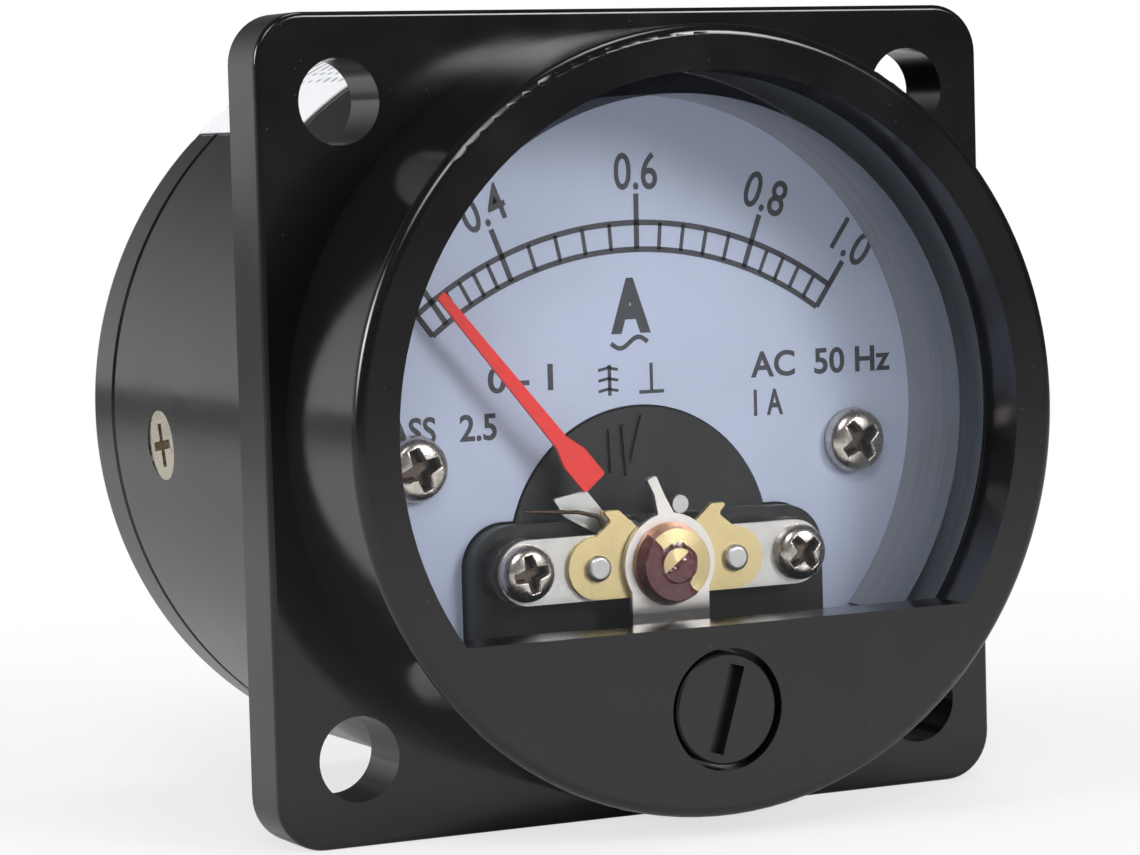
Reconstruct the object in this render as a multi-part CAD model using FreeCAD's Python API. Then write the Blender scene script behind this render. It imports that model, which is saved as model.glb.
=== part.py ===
# Analog panel meter: a moving-iron ammeter with a square flange and a round drum.
# Frame in millimetres: +Z is up, the meter's axis lies along Y and the dial faces -Y.
# The origin is the centre of the four mounting holes, on the back face of the flange.
import FreeCAD, Part
import math
import os
from FreeCAD import Vector

os.makedirs("parts", exist_ok=True)

# Flange, drum and window
flange_side = 45.0
flange_thickness = 3.75
flange_corner_radius = 2.75
flange_edge_radius = 0.3
mounting_hole_inset = 4.8
mounting_hole_radius = 2.35
drum_inset = 1.15
drum_height = 9.15
drum_edge_radius = 0.6
drum_wall = 1.95
bezel_width = 2.48
window_recess = 3.05
lower_panel_height = 10.43
pane_thickness = 1.0
pane_wall = 1.6
pane_clearance = 0.1
pane_lap = 0.7

# Zero-adjusting screw in the lower panel
zero_screw_rise = 5.85
zero_head_radius = 3.05
zero_head_gap = 0.3
zero_head_sink = 0.1
zero_head_chamfer = 0.12
zero_recess_depth = 1.3
zero_slot_length = 4.9
zero_slot_width = 0.9
zero_slot_depth = 0.7
zero_slot_tilt = 17.0
zero_shank_radius = 1.5
zero_running_gap = 0.05
zero_collar_radius = 2.2
zero_collar_thickness = 0.55
zero_pin_radius = 0.5
zero_pin_throw = 1.1
zero_pin_length = 1.6

# Dial
dial_thickness = 0.4
dial_face_y = -3.33
dial_clearance = 0.2
dial_cutout_gap = 0.12
dial_foot_drop = 1.68
dial_screw_inset = 5.38
dial_screw_rise = 5.85
dial_screw_head_radius = 1.85
dial_screw_head_height = 1.2
dial_screw_shank_radius = 0.8
dial_screw_length = 1.9

# Moulded movement frame
spindle_rise = 2.82
frame_plate_thickness = 2.0
frame_skirt_wall = 1.3
frame_skirt_depth = 17.0
dome_radius = 8.1
dome_rise_over_spindle = 0.4
dome_height = 0.12
dome_rib_width = 0.28
dome_rib_rise = 0.2
dome_bore_radius = 1.6
dome_rib_lines = [(-1.78, 4.5, -1.84, 6.95), (-0.8, 4.3, -1.02, 7.15), (-0.75, 4.3, 0.2, 7.6)]
saddle_margin = 2.47
saddle_rise = 2.5
saddle_foot_drop = 1.48
saddle_height = 1.17
saddle_corner_radius = 2.4

# Bridge bar and what it carries
bridge_end_margin = 1.62
bridge_width = 3.6
bridge_thickness = 0.35
bridge_post_height = 1.2
bridge_post_radius = 1.9
bridge_screw_x = 8.53
bridge_screw_head_radius = 1.6
bridge_screw_head_height = 0.9
bridge_screw_shank_radius = 0.7
bridge_screw_depth = 2.2
clip_thickness = 0.3
clip_lobe_x = 4.3
clip_lobe_radius = 1.75
clip_finger_rise = 3.1
clip_finger_inner_x = 2.9
clip_finger_outer_x = 3.85
clip_finger_root_x = 1.7
clip_finger_waist_x = 3.35
clip_finger_waist_rise = 0.75
clip_tip_inset = 0.05
clip_tip_length = 0.25
rivet_head_radius = 0.75
rivet_head_height = 0.4
rivet_head_round = 0.28
rivet_shank_radius = 0.5
stop_wire_radius = 0.11
stop_wire_points = [(-3.6, 1.85), (-3.98, 2.8), (-5.2, 3.12), (-8.5, 3.35)]
stop_wire_bend = 0.35
jewel_screw_radius = 1.05
jewel_screw_proud = 0.12
jewel_screw_chamfer = 0.12
jewel_slot_width = 0.3
jewel_slot_depth = 0.35
jewel_slot_tilt = -38.0
jewel_cup_radius = 0.5
lock_nut_back_radius = 2.31
lock_nut_face_radius = 2.02
lock_nut_thickness = 0.85
lock_nut_neck_radius = 1.4
lock_nut_neck_length = 0.45

# Zero lever on the neck of the lock nut
lever_thickness = 0.35
lever_side_gap = 0.05
lever_running_gap = 0.05
lever_ring_radius = 2.8
lever_tab_half_width = 2.4
lever_shelf_drop = 3.6
lever_shelf_depth = 1.6
lever_fork_half_width = 1.9
lever_fork_end_drop = 0.4
lever_fork_slot_rise = 2.5
lever_fork_gap = 0.15
lever_fork_corner_radius = 0.3
lever_arm_corners = [(-0.9, 1.9, 0.0), (-0.68, 2.8, 0.0), (-0.85, 3.8, 0.8), (-1.3, 4.7, 0.1),
                     (-0.75, 4.9, 0.15), (-0.2, 3.7, 0.8), (0.3, 2.8, 0.0), (0.9, 1.9, 0.0)]
lever_leg_x = 1.2
lever_leg_width = 0.9

# Moving system on the spindle
spindle_radius = 0.4
spindle_front_gap = 0.2
pivot_length = 0.45
pivot_tip_radius = 0.03
pivot_root_radius = 0.24
pivot_play = 0.05
pointer_angle = -40.0
pointer_thickness = 0.25
pointer_tip_margin = 1.35
pointer_tip_width = 0.55
pointer_shaft_width = 0.85
pointer_neck_radius = 9.1
pointer_paddle_radius = 7.9
pointer_paddle_width = 1.6
pointer_root_radius = 6.0
pointer_corner_radius = 0.15
pointer_shoulder_radius = 0.25
pointer_neck_fillet = 0.8
carrier_thickness = 0.2
carrier_bridge_gap = 0.45
carrier_hub_radius = 0.9
carrier_hub_gap = 0.1
carrier_main_arm = [(-0.75, 0.0, 0.0), (-0.9, 3.2, 0.3), (-1.77, 3.88, 0.15), (-2.55, 5.9, 0.2),
                    (-2.37, 7.02, 0.1), (-0.7, 6.05, 0.0), (-0.6, 7.2, 0.0), (0.6, 7.2, 0.0),
                    (0.6, 6.15, 0.0), (-0.6, 6.02, 0.0), (-0.6, 3.9, 0.2), (0.55, 2.6, 0.2),
                    (0.55, 0.0, 0.0)]
carrier_balance_width = 0.7
balance_side_angle = 63.5
balance_side_radius = 3.4
balance_tail_radius = 2.9
balance_weight_radius = 0.5
balance_weight_length = 0.35
collet_radius = 0.8
collet_length = 0.55
hairspring_turns = 4
hairspring_gap = 0.1
hairspring_end_angle = 160.0
hairspring_outer_radius = 2.4
hairspring_ribbon = 0.09
hairspring_width = 0.3
hairspring_inset = 0.1
hairspring_tail_width = 0.12

# Coil, irons and damper behind the frame
bobbin_bore_radius = 4.5
bobbin_wall = 0.8
bobbin_flange_radius = 9.0
bobbin_flange_thickness = 0.9
winding_length = 8.5
winding_depth = 3.2
fixed_iron_thickness = 0.35
fixed_iron_angle = 180.0
fixed_iron_angle_span = 120.0
iron_inset = 0.6
moving_iron_radius = 3.5
moving_iron_thickness = 0.35
moving_iron_angle_span = 36.0
moving_iron_angle = pointer_angle + 180
iron_arm_thickness = 0.32
iron_hub_wall = 0.4
chamber_radius = 8.9
chamber_wall = 0.6
chamber_depth = 3.8
chamber_cover_thickness = 0.6
chamber_hole_radius = 0.9
vane_thickness = 0.15
vane_clearance = 0.35
pillar_reach = 10.15
pillar_radius = 1.2
pillar_fit = 0.05
ear_radius = 2.2
rear_strap_thickness = 1.0
rear_strap_half_width = 2.2
pillar_screw_head_radius = 1.7
pillar_screw_head_height = 1.0
pillar_screw_head_round = 0.4
pillar_screw_slot_width = 0.5
pillar_screw_slot_depth = 0.5
pillar_screw_shank_radius = 0.6
pillar_screw_length = 4.0
rear_jewel_radius = 1.2
spindle_back_gap = 0.52
rear_jewel_proud = 1.5
rear_jewel_lap = 0.15
rear_jewel_slot_width = 0.4
rear_jewel_slot_depth = 0.4
rear_nut_flats = 4.0
rear_nut_thickness = 1.0

# Rear can, cover and side screws
can_wall = 1.6
can_length = 20.8
can_seat_depth = 0.2
can_seat_clearance = 0.1
can_edge_chamfer = 0.2
sleeve_clearance = 0.1
sleeve_wall = 0.95
sleeve_end_gap = 1.95
cover_seam = 0.15
cover_rim_length = 3.55
cover_floor = 2.2
cover_edge_radius = 0.7
cover_spigot_length = 2.0
cover_spigot_wall = 1.4
side_screw_y = 13.35
side_screw_angle = 3.7
side_screw_head_radius = 2.0
side_screw_shank_radius = 1.0
side_screw_length = 5.4
side_boss_radius = 2.2
side_boss_length = 1.6
label_thickness = 0.1
label_glue = 0.03
label_start_y = 8.6
label_end_inset = 0.9
label_left_angle = -42.5
label_right_angle = 30.0

# Terminals
terminal_x = 10.0
terminal_boss_radius = 4.5
terminal_boss_height = 0.8
stud_radius = 1.5
stud_length = 10.0
stud_head_radius = 3.0
stud_head_thickness = 1.6
stud_tip_chamfer = 0.3
washer_radius = 3.5
washer_thickness = 0.5
nut_flats = 5.5
nut_thickness = 2.4
nut_corner_drop = 0.5
spring_washer_radius = 2.9
spring_washer_thickness = 0.8
spring_washer_split = 0.5
tag_thickness = 0.4
tag_ring_radius = 2.9
tag_tail_length = 3.4
tag_tail_width = 1.6
lead_radius = 0.25
lead_clearance = 0.03
lead_bend_radius = 1.5
lead_start_angle = 62.0
lead_corner_x = 12.4
lead_corner_rise = 4.5
lead_corner_drop = 1.0
lead_front_margin = 1.0
lead_back_margin = 2.0
lead_joint_share = 0.75

# Cross-recess screws, as shares of the head's radius and height
head_round_share = 0.55
recess_reach_share = 0.62
recess_width_share = 0.13
recess_depth_share = 0.7
side_recess_depth = 0.7
side_recess_turn = 8.0

# How far a cutting shape passes beyond the surface that it opens, and how near two values count as the same
cut_margin = 1.0
match_tolerance = 0.0001

# Values that follow from the dimensions above
drum_radius = flange_side / 2 - drum_inset
mounting_hole_pitch = flange_side - 2 * mounting_hole_inset
drum_front_y = -(flange_thickness + drum_height)
panel_top_z = lower_panel_height - drum_radius
zero_screw_z = zero_screw_rise - drum_radius
spindle_z = panel_top_z + spindle_rise
bridge_z = spindle_z
pane_front_y = drum_front_y + window_recess
pane_back_y = pane_front_y + pane_thickness
window_radius = drum_radius - bezel_width
bore_radius = drum_radius - drum_wall
sleeve_radius = bore_radius + sleeve_wall
can_bore_radius = sleeve_radius + sleeve_clearance
can_radius = can_bore_radius + can_wall
pane_radius = bore_radius - pane_clearance
dial_back_y = dial_face_y + dial_thickness
frame_radius = bore_radius - dial_clearance
frame_back_y = dial_back_y + frame_plate_thickness
dial_foot_z = panel_top_z - dial_foot_drop
dial_screw_x = frame_radius - dial_screw_inset
dial_screw_z = spindle_z + dial_screw_rise
dome_z = spindle_z + dome_rise_over_spindle
dome_front_y = dial_face_y - dome_height
saddle_front_y = dial_face_y - saddle_height
saddle_half_width = bridge_screw_x + saddle_margin
saddle_top_z = spindle_z + saddle_rise
saddle_bottom_z = panel_top_z - saddle_foot_drop
bridge_half_length = bridge_screw_x + bridge_end_margin
bridge_back_y = saddle_front_y - bridge_post_height
bridge_front_y = bridge_back_y - bridge_thickness
clip_front_y = bridge_front_y - clip_thickness
lever_back_y = clip_front_y - lever_side_gap
lever_front_y = lever_back_y - lever_thickness
lock_nut_back_y = clip_front_y - lock_nut_neck_length
lock_nut_front_y = lock_nut_back_y - lock_nut_thickness
jewel_front_y = lock_nut_front_y - jewel_screw_proud
fork_front_y = lever_front_y - lever_shelf_depth
lever_shelf_z = spindle_z - lever_shelf_drop
lever_fork_end_z = zero_screw_z - lever_fork_end_drop
lever_fork_slot_top_z = zero_screw_z + lever_fork_slot_rise
spindle_front_y = bridge_back_y - spindle_front_gap
carrier_front_y = bridge_back_y + carrier_bridge_gap
carrier_back_y = carrier_front_y + carrier_thickness
pointer_front_y = carrier_front_y - pointer_thickness
pointer_tip_radius = drum_radius - pointer_tip_margin
collet_back_y = carrier_back_y + collet_length
hairspring_front_y = carrier_back_y + hairspring_inset
lever_leg_end_y = hairspring_front_y + hairspring_width
bobbin_front_y = frame_back_y
winding_front_y = bobbin_front_y + bobbin_flange_thickness
winding_back_y = winding_front_y + winding_length
bobbin_back_y = winding_back_y + bobbin_flange_thickness
chamber_back_y = bobbin_back_y + chamber_depth
cover_plate_back_y = chamber_back_y + chamber_cover_thickness
strap_back_y = cover_plate_back_y + rear_strap_thickness
spindle_back_y = cover_plate_back_y - spindle_back_gap
pillar_centres = [(-pillar_reach, spindle_z), (pillar_reach, spindle_z)]
cover_front_y = can_length + cover_seam
cover_back_y = cover_front_y + cover_rim_length
sleeve_length = cover_front_y - cover_spigot_length - sleeve_end_gap
label_inner_radius = can_radius + label_glue
label_end_y = cover_back_y - label_end_inset
cover_floor_y = cover_back_y - cover_floor
terminal_face_y = cover_back_y + terminal_boss_height


# Shapes shared by the pieces
def rod(radius, y_front, y_back, x=0.0, z=0.0):
    """Cylinder along Y between two planes."""
    return Part.makeCylinder(radius, y_back - y_front, Vector(x, y_front, z), Vector(0, 1, 0))


def taper(radius_front, radius_back, y_front, y_back, x=0.0, z=0.0):
    """Cone along Y; one radius may be zero."""
    return Part.makeCone(radius_front, radius_back, y_back - y_front, Vector(x, y_front, z), Vector(0, 1, 0))


def tube(outer, inner, y_front, y_back, x=0.0, z=0.0):
    """Ring along Y."""
    return rod(outer, y_front, y_back, x, z).cut(hole(inner, y_front, y_back, x, z))


def hole(radius, y_front, y_back, x=0.0, z=0.0):
    """Cutting cylinder that passes a little beyond both planes."""
    return rod(radius, y_front - cut_margin, y_back + cut_margin, x, z)


def block(x_range, y_range, z_range):
    """Box from three (low, high) pairs."""
    size = [high - low for low, high in (x_range, y_range, z_range)]
    return Part.makeBox(*size, Vector(x_range[0], y_range[0], z_range[0]))


def bend(before, here, after, radius):
    """Start, middle and end of the arc that rounds the corner between two straight stretches."""
    to_before = before.sub(here).normalize()
    to_after = after.sub(here).normalize()
    half_angle = to_before.getAngle(to_after) / 2
    reach = radius / math.tan(half_angle)
    bisector = to_before.add(to_after).normalize()
    middle = here.add(bisector * (radius / math.sin(half_angle) - radius))
    return here.add(to_before * reach), middle, here.add(to_after * reach)


def bent_wire(points, bend_radius, radius):
    """Round wire along straight stretches joined by bends of one radius."""
    edges = []
    last = points[0]
    for before, here, after in zip(points, points[1:], points[2:]):
        start, middle, end = bend(before, here, after, bend_radius)
        edges.append(Part.makeLine(last, start))
        edges.append(Part.Arc(start, middle, end).toShape())
        last = end
    edges.append(Part.makeLine(last, points[-1]))
    ring = Part.Wire(Part.makeCircle(radius, points[0], points[1].sub(points[0])))
    return Part.Wire(edges).makePipeShell([ring], True, True)


def outline(corners):
    """Face in the XZ plane through (x, z, corner radius) points; each radius becomes an arc."""
    stops = []
    for index, (x, z, radius) in enumerate(corners):
        here = Vector(x, 0, z)
        before = corners[index - 1]
        after = corners[(index + 1) % len(corners)]
        if radius == 0:
            stops.append((here, None, here))
        else:
            stops.append(bend(Vector(before[0], 0, before[1]), here, Vector(after[0], 0, after[1]), radius))
    edges = []
    for index, (start, middle, end) in enumerate(stops):
        if middle is not None:
            edges.append(Part.Arc(start, middle, end).toShape())
        following = stops[(index + 1) % len(stops)][0]
        if following.sub(end).Length > match_tolerance:
            edges.append(Part.makeLine(end, following))
    return Part.Face(Part.Wire(edges))


def plate(corners, y_front, y_back):
    """Flat piece with the given outline between two Y planes."""
    face = outline(corners)
    face.translate(Vector(0, y_front, 0))
    return face.extrude(Vector(0, y_back - y_front, 0))


def rectangle(half_width, z_low, z_high, radius=0.0):
    """Corner list of a rectangle centred on x = 0."""
    return [(-half_width, z_low, radius), (half_width, z_low, radius),
            (half_width, z_high, radius), (-half_width, z_high, radius)]


def circle_edges(shape, radius, y):
    """Circular edges of one radius whose centre lies on the plane y."""
    found = []
    for edge in shape.Edges:
        curve = edge.Curve
        if not isinstance(curve, Part.Circle):
            continue
        if abs(curve.Radius - radius) < match_tolerance and abs(curve.Center.y - y) < match_tolerance:
            found.append(edge)
    return found


def about_spindle(radius, angle):
    """Point (x, z) at a radius from the spindle; the angle runs clockwise from +Z."""
    turn = math.radians(angle)
    return radius * math.sin(turn), spindle_z + radius * math.cos(turn)


def turned(shape, angle, x=0.0, z=0.0):
    """Shape turned about a Y axis, clockwise as the dial is read."""
    shape.rotate(Vector(x, 0, z), Vector(0, 1, 0), angle)
    return shape


def sector(outer, inner, y_front, y_back, angle_from, angle_to, x=0.0, z=0.0):
    """Part of a ring between two clockwise angles from +Z."""
    ring = Part.Face(Part.Wire([
        Part.makeLine(Vector(inner, 0, 0), Vector(outer, 0, 0)),
        Part.makeLine(Vector(outer, 0, 0), Vector(outer, y_back - y_front, 0)),
        Part.makeLine(Vector(outer, y_back - y_front, 0), Vector(inner, y_back - y_front, 0)),
        Part.makeLine(Vector(inner, y_back - y_front, 0), Vector(inner, 0, 0))]))
    solid = ring.revolve(Vector(0, 0, 0), Vector(0, 1, 0), angle_to - angle_from)
    solid.rotate(Vector(0, 0, 0), Vector(0, 1, 0), angle_from - 90)
    solid.translate(Vector(x, y_front, z))
    return solid


def hexagon(flats, y_front, y_back, x=0.0, z=0.0):
    """Hexagonal prism along Y with two corners up and down."""
    reach = flats / 2 / math.cos(math.radians(30))
    corners = [(x + reach * math.sin(math.radians(60 * i)), z + reach * math.cos(math.radians(60 * i)), 0.0)
               for i in range(6)]
    return plate(corners, y_front, y_back)


def pan_head_screw(head_radius, head_height, shank_radius, y_seat, y_tip, x, z):
    """Domed cross-recess screw whose head seats on the plane y_seat, facing -Y."""
    y_top = y_seat - head_height
    head = rod(head_radius, y_top, y_seat, x, z)
    head = head.makeFillet(head_height * head_round_share, circle_edges(head, head_radius, y_top))
    wing = head_radius * recess_reach_share
    blade = head_radius * recess_width_share
    depths = (y_top - cut_margin, y_top + head_height * recess_depth_share)
    cross = block((x - wing, x + wing), depths, (z - blade, z + blade))
    cross = cross.fuse(block((x - blade, x + blade), depths, (z - wing, z + wing)))
    return head.cut(cross).fuse(rod(shank_radius, y_seat, y_tip, x, z))


def save(shape, node):
    """Write one piece, or one group of like pieces, to its file."""
    shape.exportStep("parts/" + node + ".step")


def group(shapes, node):
    """Write several separate solids as one node."""
    save(Part.makeCompound(shapes), node)


# Front
def mounting_hole_centres():
    """The (x, z) places of the four holes in the flange."""
    half = mounting_hole_pitch / 2
    return [(x, z) for x in (-half, half) for z in (-half, half)]


def front_housing():
    """Flange, drum, lower panel and rear sleeve moulded in one, with a seat behind the flange for the can."""
    half = flange_side / 2
    flange = plate(rectangle(half, -half, half, flange_corner_radius), -flange_thickness, 0)
    front_edges = [edge for edge in flange.Edges if edge.BoundBox.YMax < -flange_thickness / 2]
    flange = flange.makeFillet(flange_edge_radius, front_edges)
    drum = rod(drum_radius, drum_front_y, -flange_thickness / 2)
    drum = drum.makeFillet(drum_edge_radius, circle_edges(drum, drum_radius, drum_front_y))
    can_seat = tube(can_radius + can_seat_clearance, sleeve_radius, -can_seat_depth, cut_margin)
    sleeve = rod(sleeve_radius, -flange_thickness / 2, sleeve_length)
    body = flange.cut(can_seat).fuse([drum, sleeve]).removeSplitter()
    window_depths = (drum_front_y - cut_margin, pane_front_y + cut_margin)
    above_panel = block((-drum_radius, drum_radius), window_depths, (panel_top_z, drum_radius))
    window = rod(window_radius, *window_depths).common(above_panel)
    head_recess_back_y = drum_front_y + zero_recess_depth
    head_recess_radius = zero_head_radius + zero_head_gap
    cutters = [rod(bore_radius, pane_front_y, sleeve_length + cut_margin),
               window,
               rod(head_recess_radius, drum_front_y - cut_margin, head_recess_back_y, 0, zero_screw_z),
               hole(zero_shank_radius + zero_running_gap, drum_front_y, pane_front_y, 0, zero_screw_z)]
    for x, z in mounting_hole_centres():
        cutters.append(hole(mounting_hole_radius, -flange_thickness, 0, x, z))
    for side in (-1, 1):
        cutters.append(side_screw_axis_rod(side, side_screw_shank_radius))
    return body.cut(cutters)


def window_pane():
    """Clear moulded cup: a flat pane with a wall that reaches back to the dial."""
    disc = rod(pane_radius, pane_front_y, pane_back_y)
    wall = tube(pane_radius, pane_radius - pane_wall, pane_front_y, dial_face_y)
    depths = (pane_front_y - cut_margin, dial_face_y + cut_margin)
    keep = block((-drum_radius, drum_radius), depths, (panel_top_z - pane_lap, drum_radius))
    return disc.fuse(wall).common(keep).removeSplitter()


def zero_screw():
    """Slotted head in the recess, shank through the panel, snap collar and eccentric pin."""
    head_front_y = drum_front_y + zero_head_sink
    head_back_y = drum_front_y + zero_recess_depth - zero_running_gap
    collar_front_y = pane_front_y + zero_running_gap
    collar_back_y = collar_front_y + zero_collar_thickness
    head = rod(zero_head_radius, head_front_y, head_back_y, 0, zero_screw_z)
    head = head.makeChamfer(zero_head_chamfer, circle_edges(head, zero_head_radius, head_front_y))
    half = zero_slot_length / 2
    slot = block((-zero_slot_width / 2, zero_slot_width / 2),
                 (head_front_y - cut_margin, head_front_y + zero_slot_depth),
                 (zero_screw_z - half, zero_screw_z + half))
    slot = turned(slot, zero_slot_tilt, 0, zero_screw_z)
    shank = rod(zero_shank_radius, head_back_y, collar_front_y, 0, zero_screw_z)
    collar = rod(zero_collar_radius, collar_front_y, collar_back_y, 0, zero_screw_z)
    pin_z = zero_screw_z + zero_pin_throw
    pin = rod(zero_pin_radius, collar_back_y, collar_back_y + zero_pin_length, 0, pin_z)
    return head.cut(slot).fuse([shank, collar, pin])


# Dial and moulded frame
def saddle_corners(grow=0.0):
    """Outline of the black block below the dome, grown on every side for a cut-out."""
    width = saddle_half_width + grow
    radius = saddle_corner_radius + grow
    return [(-width, saddle_bottom_z - grow, 0.0), (width, saddle_bottom_z - grow, 0.0),
            (width, saddle_top_z + grow, radius), (-width, saddle_top_z + grow, radius)]


def dial_plate():
    """Thin printed sheet with a cut-out for the dome and the block."""
    sheet = rod(frame_radius, dial_face_y, dial_back_y)
    cutters = [hole(dome_radius + dial_cutout_gap, dial_face_y, dial_back_y, 0, dome_z),
               plate(saddle_corners(dial_cutout_gap), dial_face_y - cut_margin, dial_back_y + cut_margin),
               block((-frame_radius, frame_radius), (dial_face_y - cut_margin, dial_back_y + cut_margin),
                     (-bore_radius, dial_foot_z))]
    for side in (-1, 1):
        x = side * dial_screw_x
        cutters.append(hole(dial_screw_shank_radius, dial_face_y, dial_back_y, x, dial_screw_z))
    return sheet.cut(cutters)


def dial_screws():
    """Two chromed screws that hold the dial sheet to the frame."""
    return [pan_head_screw(dial_screw_head_radius, dial_screw_head_height, dial_screw_shank_radius,
                           dial_face_y, dial_face_y + dial_screw_length, side * dial_screw_x, dial_screw_z)
            for side in (-1, 1)]


def dome_rib(x_low, rise_low, x_high, rise_high):
    """Narrow raised line on the face of the dome; its ends are measured from the dome's centre."""
    z_low = dome_z + rise_low
    z_high = dome_z + rise_high
    length = math.hypot(x_high - x_low, z_high - z_low)
    lean = math.degrees(math.atan2(x_high - x_low, z_high - z_low))
    rib = block((-dome_rib_width / 2, dome_rib_width / 2),
                (dome_front_y - dome_rib_rise, dome_front_y + dome_height), (0, length))
    rib = turned(rib, lean)
    rib.translate(Vector(x_low, 0, z_low))
    return rib


def movement_frame():
    """Black moulding: mounting plate, dome, block with two posts, and the skirt in the sleeve."""
    mounting_plate = rod(frame_radius, dial_back_y, frame_back_y)
    skirt = tube(frame_radius, frame_radius - frame_skirt_wall, frame_back_y, frame_skirt_depth)
    dome = rod(dome_radius, dome_front_y, frame_back_y, 0, dome_z)
    saddle = plate(saddle_corners(), saddle_front_y, frame_back_y)
    pieces = [skirt, dome, saddle]
    for side in (-1, 1):
        pieces.append(rod(bridge_post_radius, bridge_back_y, saddle_front_y, side * bridge_screw_x, bridge_z))
        pieces.append(side_screw_boss(side))
    for line in dome_rib_lines:
        pieces.append(dome_rib(*line))
    body = mounting_plate.fuse(pieces).removeSplitter()
    cutters = [hole(dome_bore_radius, saddle_front_y, frame_back_y, 0, spindle_z)]
    for side in (-1, 1):
        cutters.append(rod(dial_screw_shank_radius, dial_back_y - cut_margin,
                           dial_face_y + dial_screw_length, side * dial_screw_x, dial_screw_z))
        cutters.append(rod(bridge_screw_shank_radius, bridge_back_y - cut_margin,
                           bridge_back_y + bridge_screw_depth, side * bridge_screw_x, bridge_z))
        cutters.append(side_screw_axis_rod(side, side_screw_shank_radius))
    return body.cut(cutters)


# Bridge
def bridge_bar():
    """Flat plated bar with rounded ends across the two posts."""
    half = bridge_width / 2
    straight = bridge_half_length - half
    middle = plate(rectangle(straight, bridge_z - half, bridge_z + half), bridge_front_y, bridge_back_y)
    ends = [rod(half, bridge_front_y, bridge_back_y, side * straight, bridge_z) for side in (-1, 1)]
    bar = middle.fuse(ends).removeSplitter()
    cutters = [hole(jewel_screw_radius, bridge_front_y, bridge_back_y, 0, spindle_z)]
    for side in (-1, 1):
        for radius, x in ((bridge_screw_shank_radius, bridge_screw_x), (rivet_shank_radius, clip_lobe_x)):
            cutters.append(hole(radius, bridge_front_y, bridge_back_y, side * x, bridge_z))
    return bar.cut(cutters)


def bridge_screws():
    """Two cross-recess screws through the bar into the posts."""
    tip_y = bridge_back_y + bridge_screw_depth
    return [pan_head_screw(bridge_screw_head_radius, bridge_screw_head_height, bridge_screw_shank_radius,
                           bridge_front_y, tip_y, side * bridge_screw_x, bridge_z)
            for side in (-1, 1)]


def clip_finger(side):
    """Upright finger of the clip, with its tip bent back towards the dome."""
    top = spindle_z + clip_finger_rise
    lobe_top = bridge_z + clip_lobe_radius
    corners = [(side * clip_finger_root_x, lobe_top + clip_thickness, 0.0),
               (side * clip_finger_inner_x, top, 0.1),
               (side * clip_finger_outer_x, top, 0.1),
               (side * clip_finger_waist_x, lobe_top + clip_finger_waist_rise, 0.2),
               (side * clip_lobe_x, lobe_top, 0.0),
               (side * clip_finger_root_x, lobe_top - clip_lobe_radius / 3, 0.0)]
    finger = plate(corners, clip_front_y, bridge_front_y)
    tip_ends = (clip_finger_inner_x + clip_tip_inset, clip_finger_outer_x - clip_tip_inset)
    tip_x = sorted(side * x for x in tip_ends)
    tip = block(tip_x, (bridge_front_y, bridge_front_y + clip_tip_length), (top - clip_thickness, top))
    return finger.fuse(tip)


def brass_clip():
    """Sprung brass plate: two riveted lobes joined behind the zero lever, and two fingers."""
    low = bridge_z - clip_lobe_radius
    high = bridge_z + clip_lobe_radius
    web = plate(rectangle(clip_lobe_x, low, high), clip_front_y, bridge_front_y)
    pieces = []
    cutters = [hole(jewel_screw_radius, clip_front_y, bridge_front_y, 0, spindle_z)]
    for side in (-1, 1):
        pieces.append(rod(clip_lobe_radius, clip_front_y, bridge_front_y, side * clip_lobe_x, bridge_z))
        pieces.append(clip_finger(side))
        cutters.append(hole(rivet_shank_radius, clip_front_y, bridge_front_y, side * clip_lobe_x, bridge_z))
    return web.fuse(pieces).removeSplitter().cut(cutters)


def clip_rivets():
    """Two domed rivets, closed flush at the back of the bar."""
    rivets = []
    for side in (-1, 1):
        x = side * clip_lobe_x
        head_front_y = clip_front_y - rivet_head_height
        head = rod(rivet_head_radius, head_front_y, clip_front_y, x, bridge_z)
        head = head.makeFillet(rivet_head_round, circle_edges(head, rivet_head_radius, head_front_y))
        rivets.append(head.fuse(rod(rivet_shank_radius, clip_front_y, bridge_back_y, x, bridge_z)))
    return rivets


def stop_wire():
    """Fine bronze wire from the left finger of the clip, across the front of the pointer's root."""
    y_wire = bridge_front_y + stop_wire_radius
    points = [Vector(x, y_wire, spindle_z + rise) for x, rise in stop_wire_points]
    return bent_wire(points, stop_wire_bend, stop_wire_radius)


def front_jewel_screw():
    """Slotted bearing screw with a conical cup for the front pivot."""
    body = rod(jewel_screw_radius, jewel_front_y, bridge_back_y, 0, spindle_z)
    body = body.makeChamfer(jewel_screw_chamfer, circle_edges(body, jewel_screw_radius, jewel_front_y))
    slot = block((-jewel_screw_radius, jewel_screw_radius),
                 (jewel_front_y - cut_margin, jewel_front_y + jewel_slot_depth),
                 (spindle_z - jewel_slot_width / 2, spindle_z + jewel_slot_width / 2))
    slot = turned(slot, jewel_slot_tilt, 0, spindle_z)
    cup_front_y = spindle_front_y - pivot_length - pivot_play
    cup = taper(0, jewel_cup_radius, cup_front_y, bridge_back_y, 0, spindle_z)
    return body.cut([slot, cup])


def lock_nut():
    """Round brass nut, narrower towards its face; the zero lever turns on its neck."""
    nut = taper(lock_nut_face_radius, lock_nut_back_radius, lock_nut_front_y, lock_nut_back_y, 0, spindle_z)
    neck = rod(lock_nut_neck_radius, lock_nut_back_y, clip_front_y, 0, spindle_z)
    return nut.fuse(neck).cut(hole(jewel_screw_radius, lock_nut_front_y, clip_front_y, 0, spindle_z))


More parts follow.
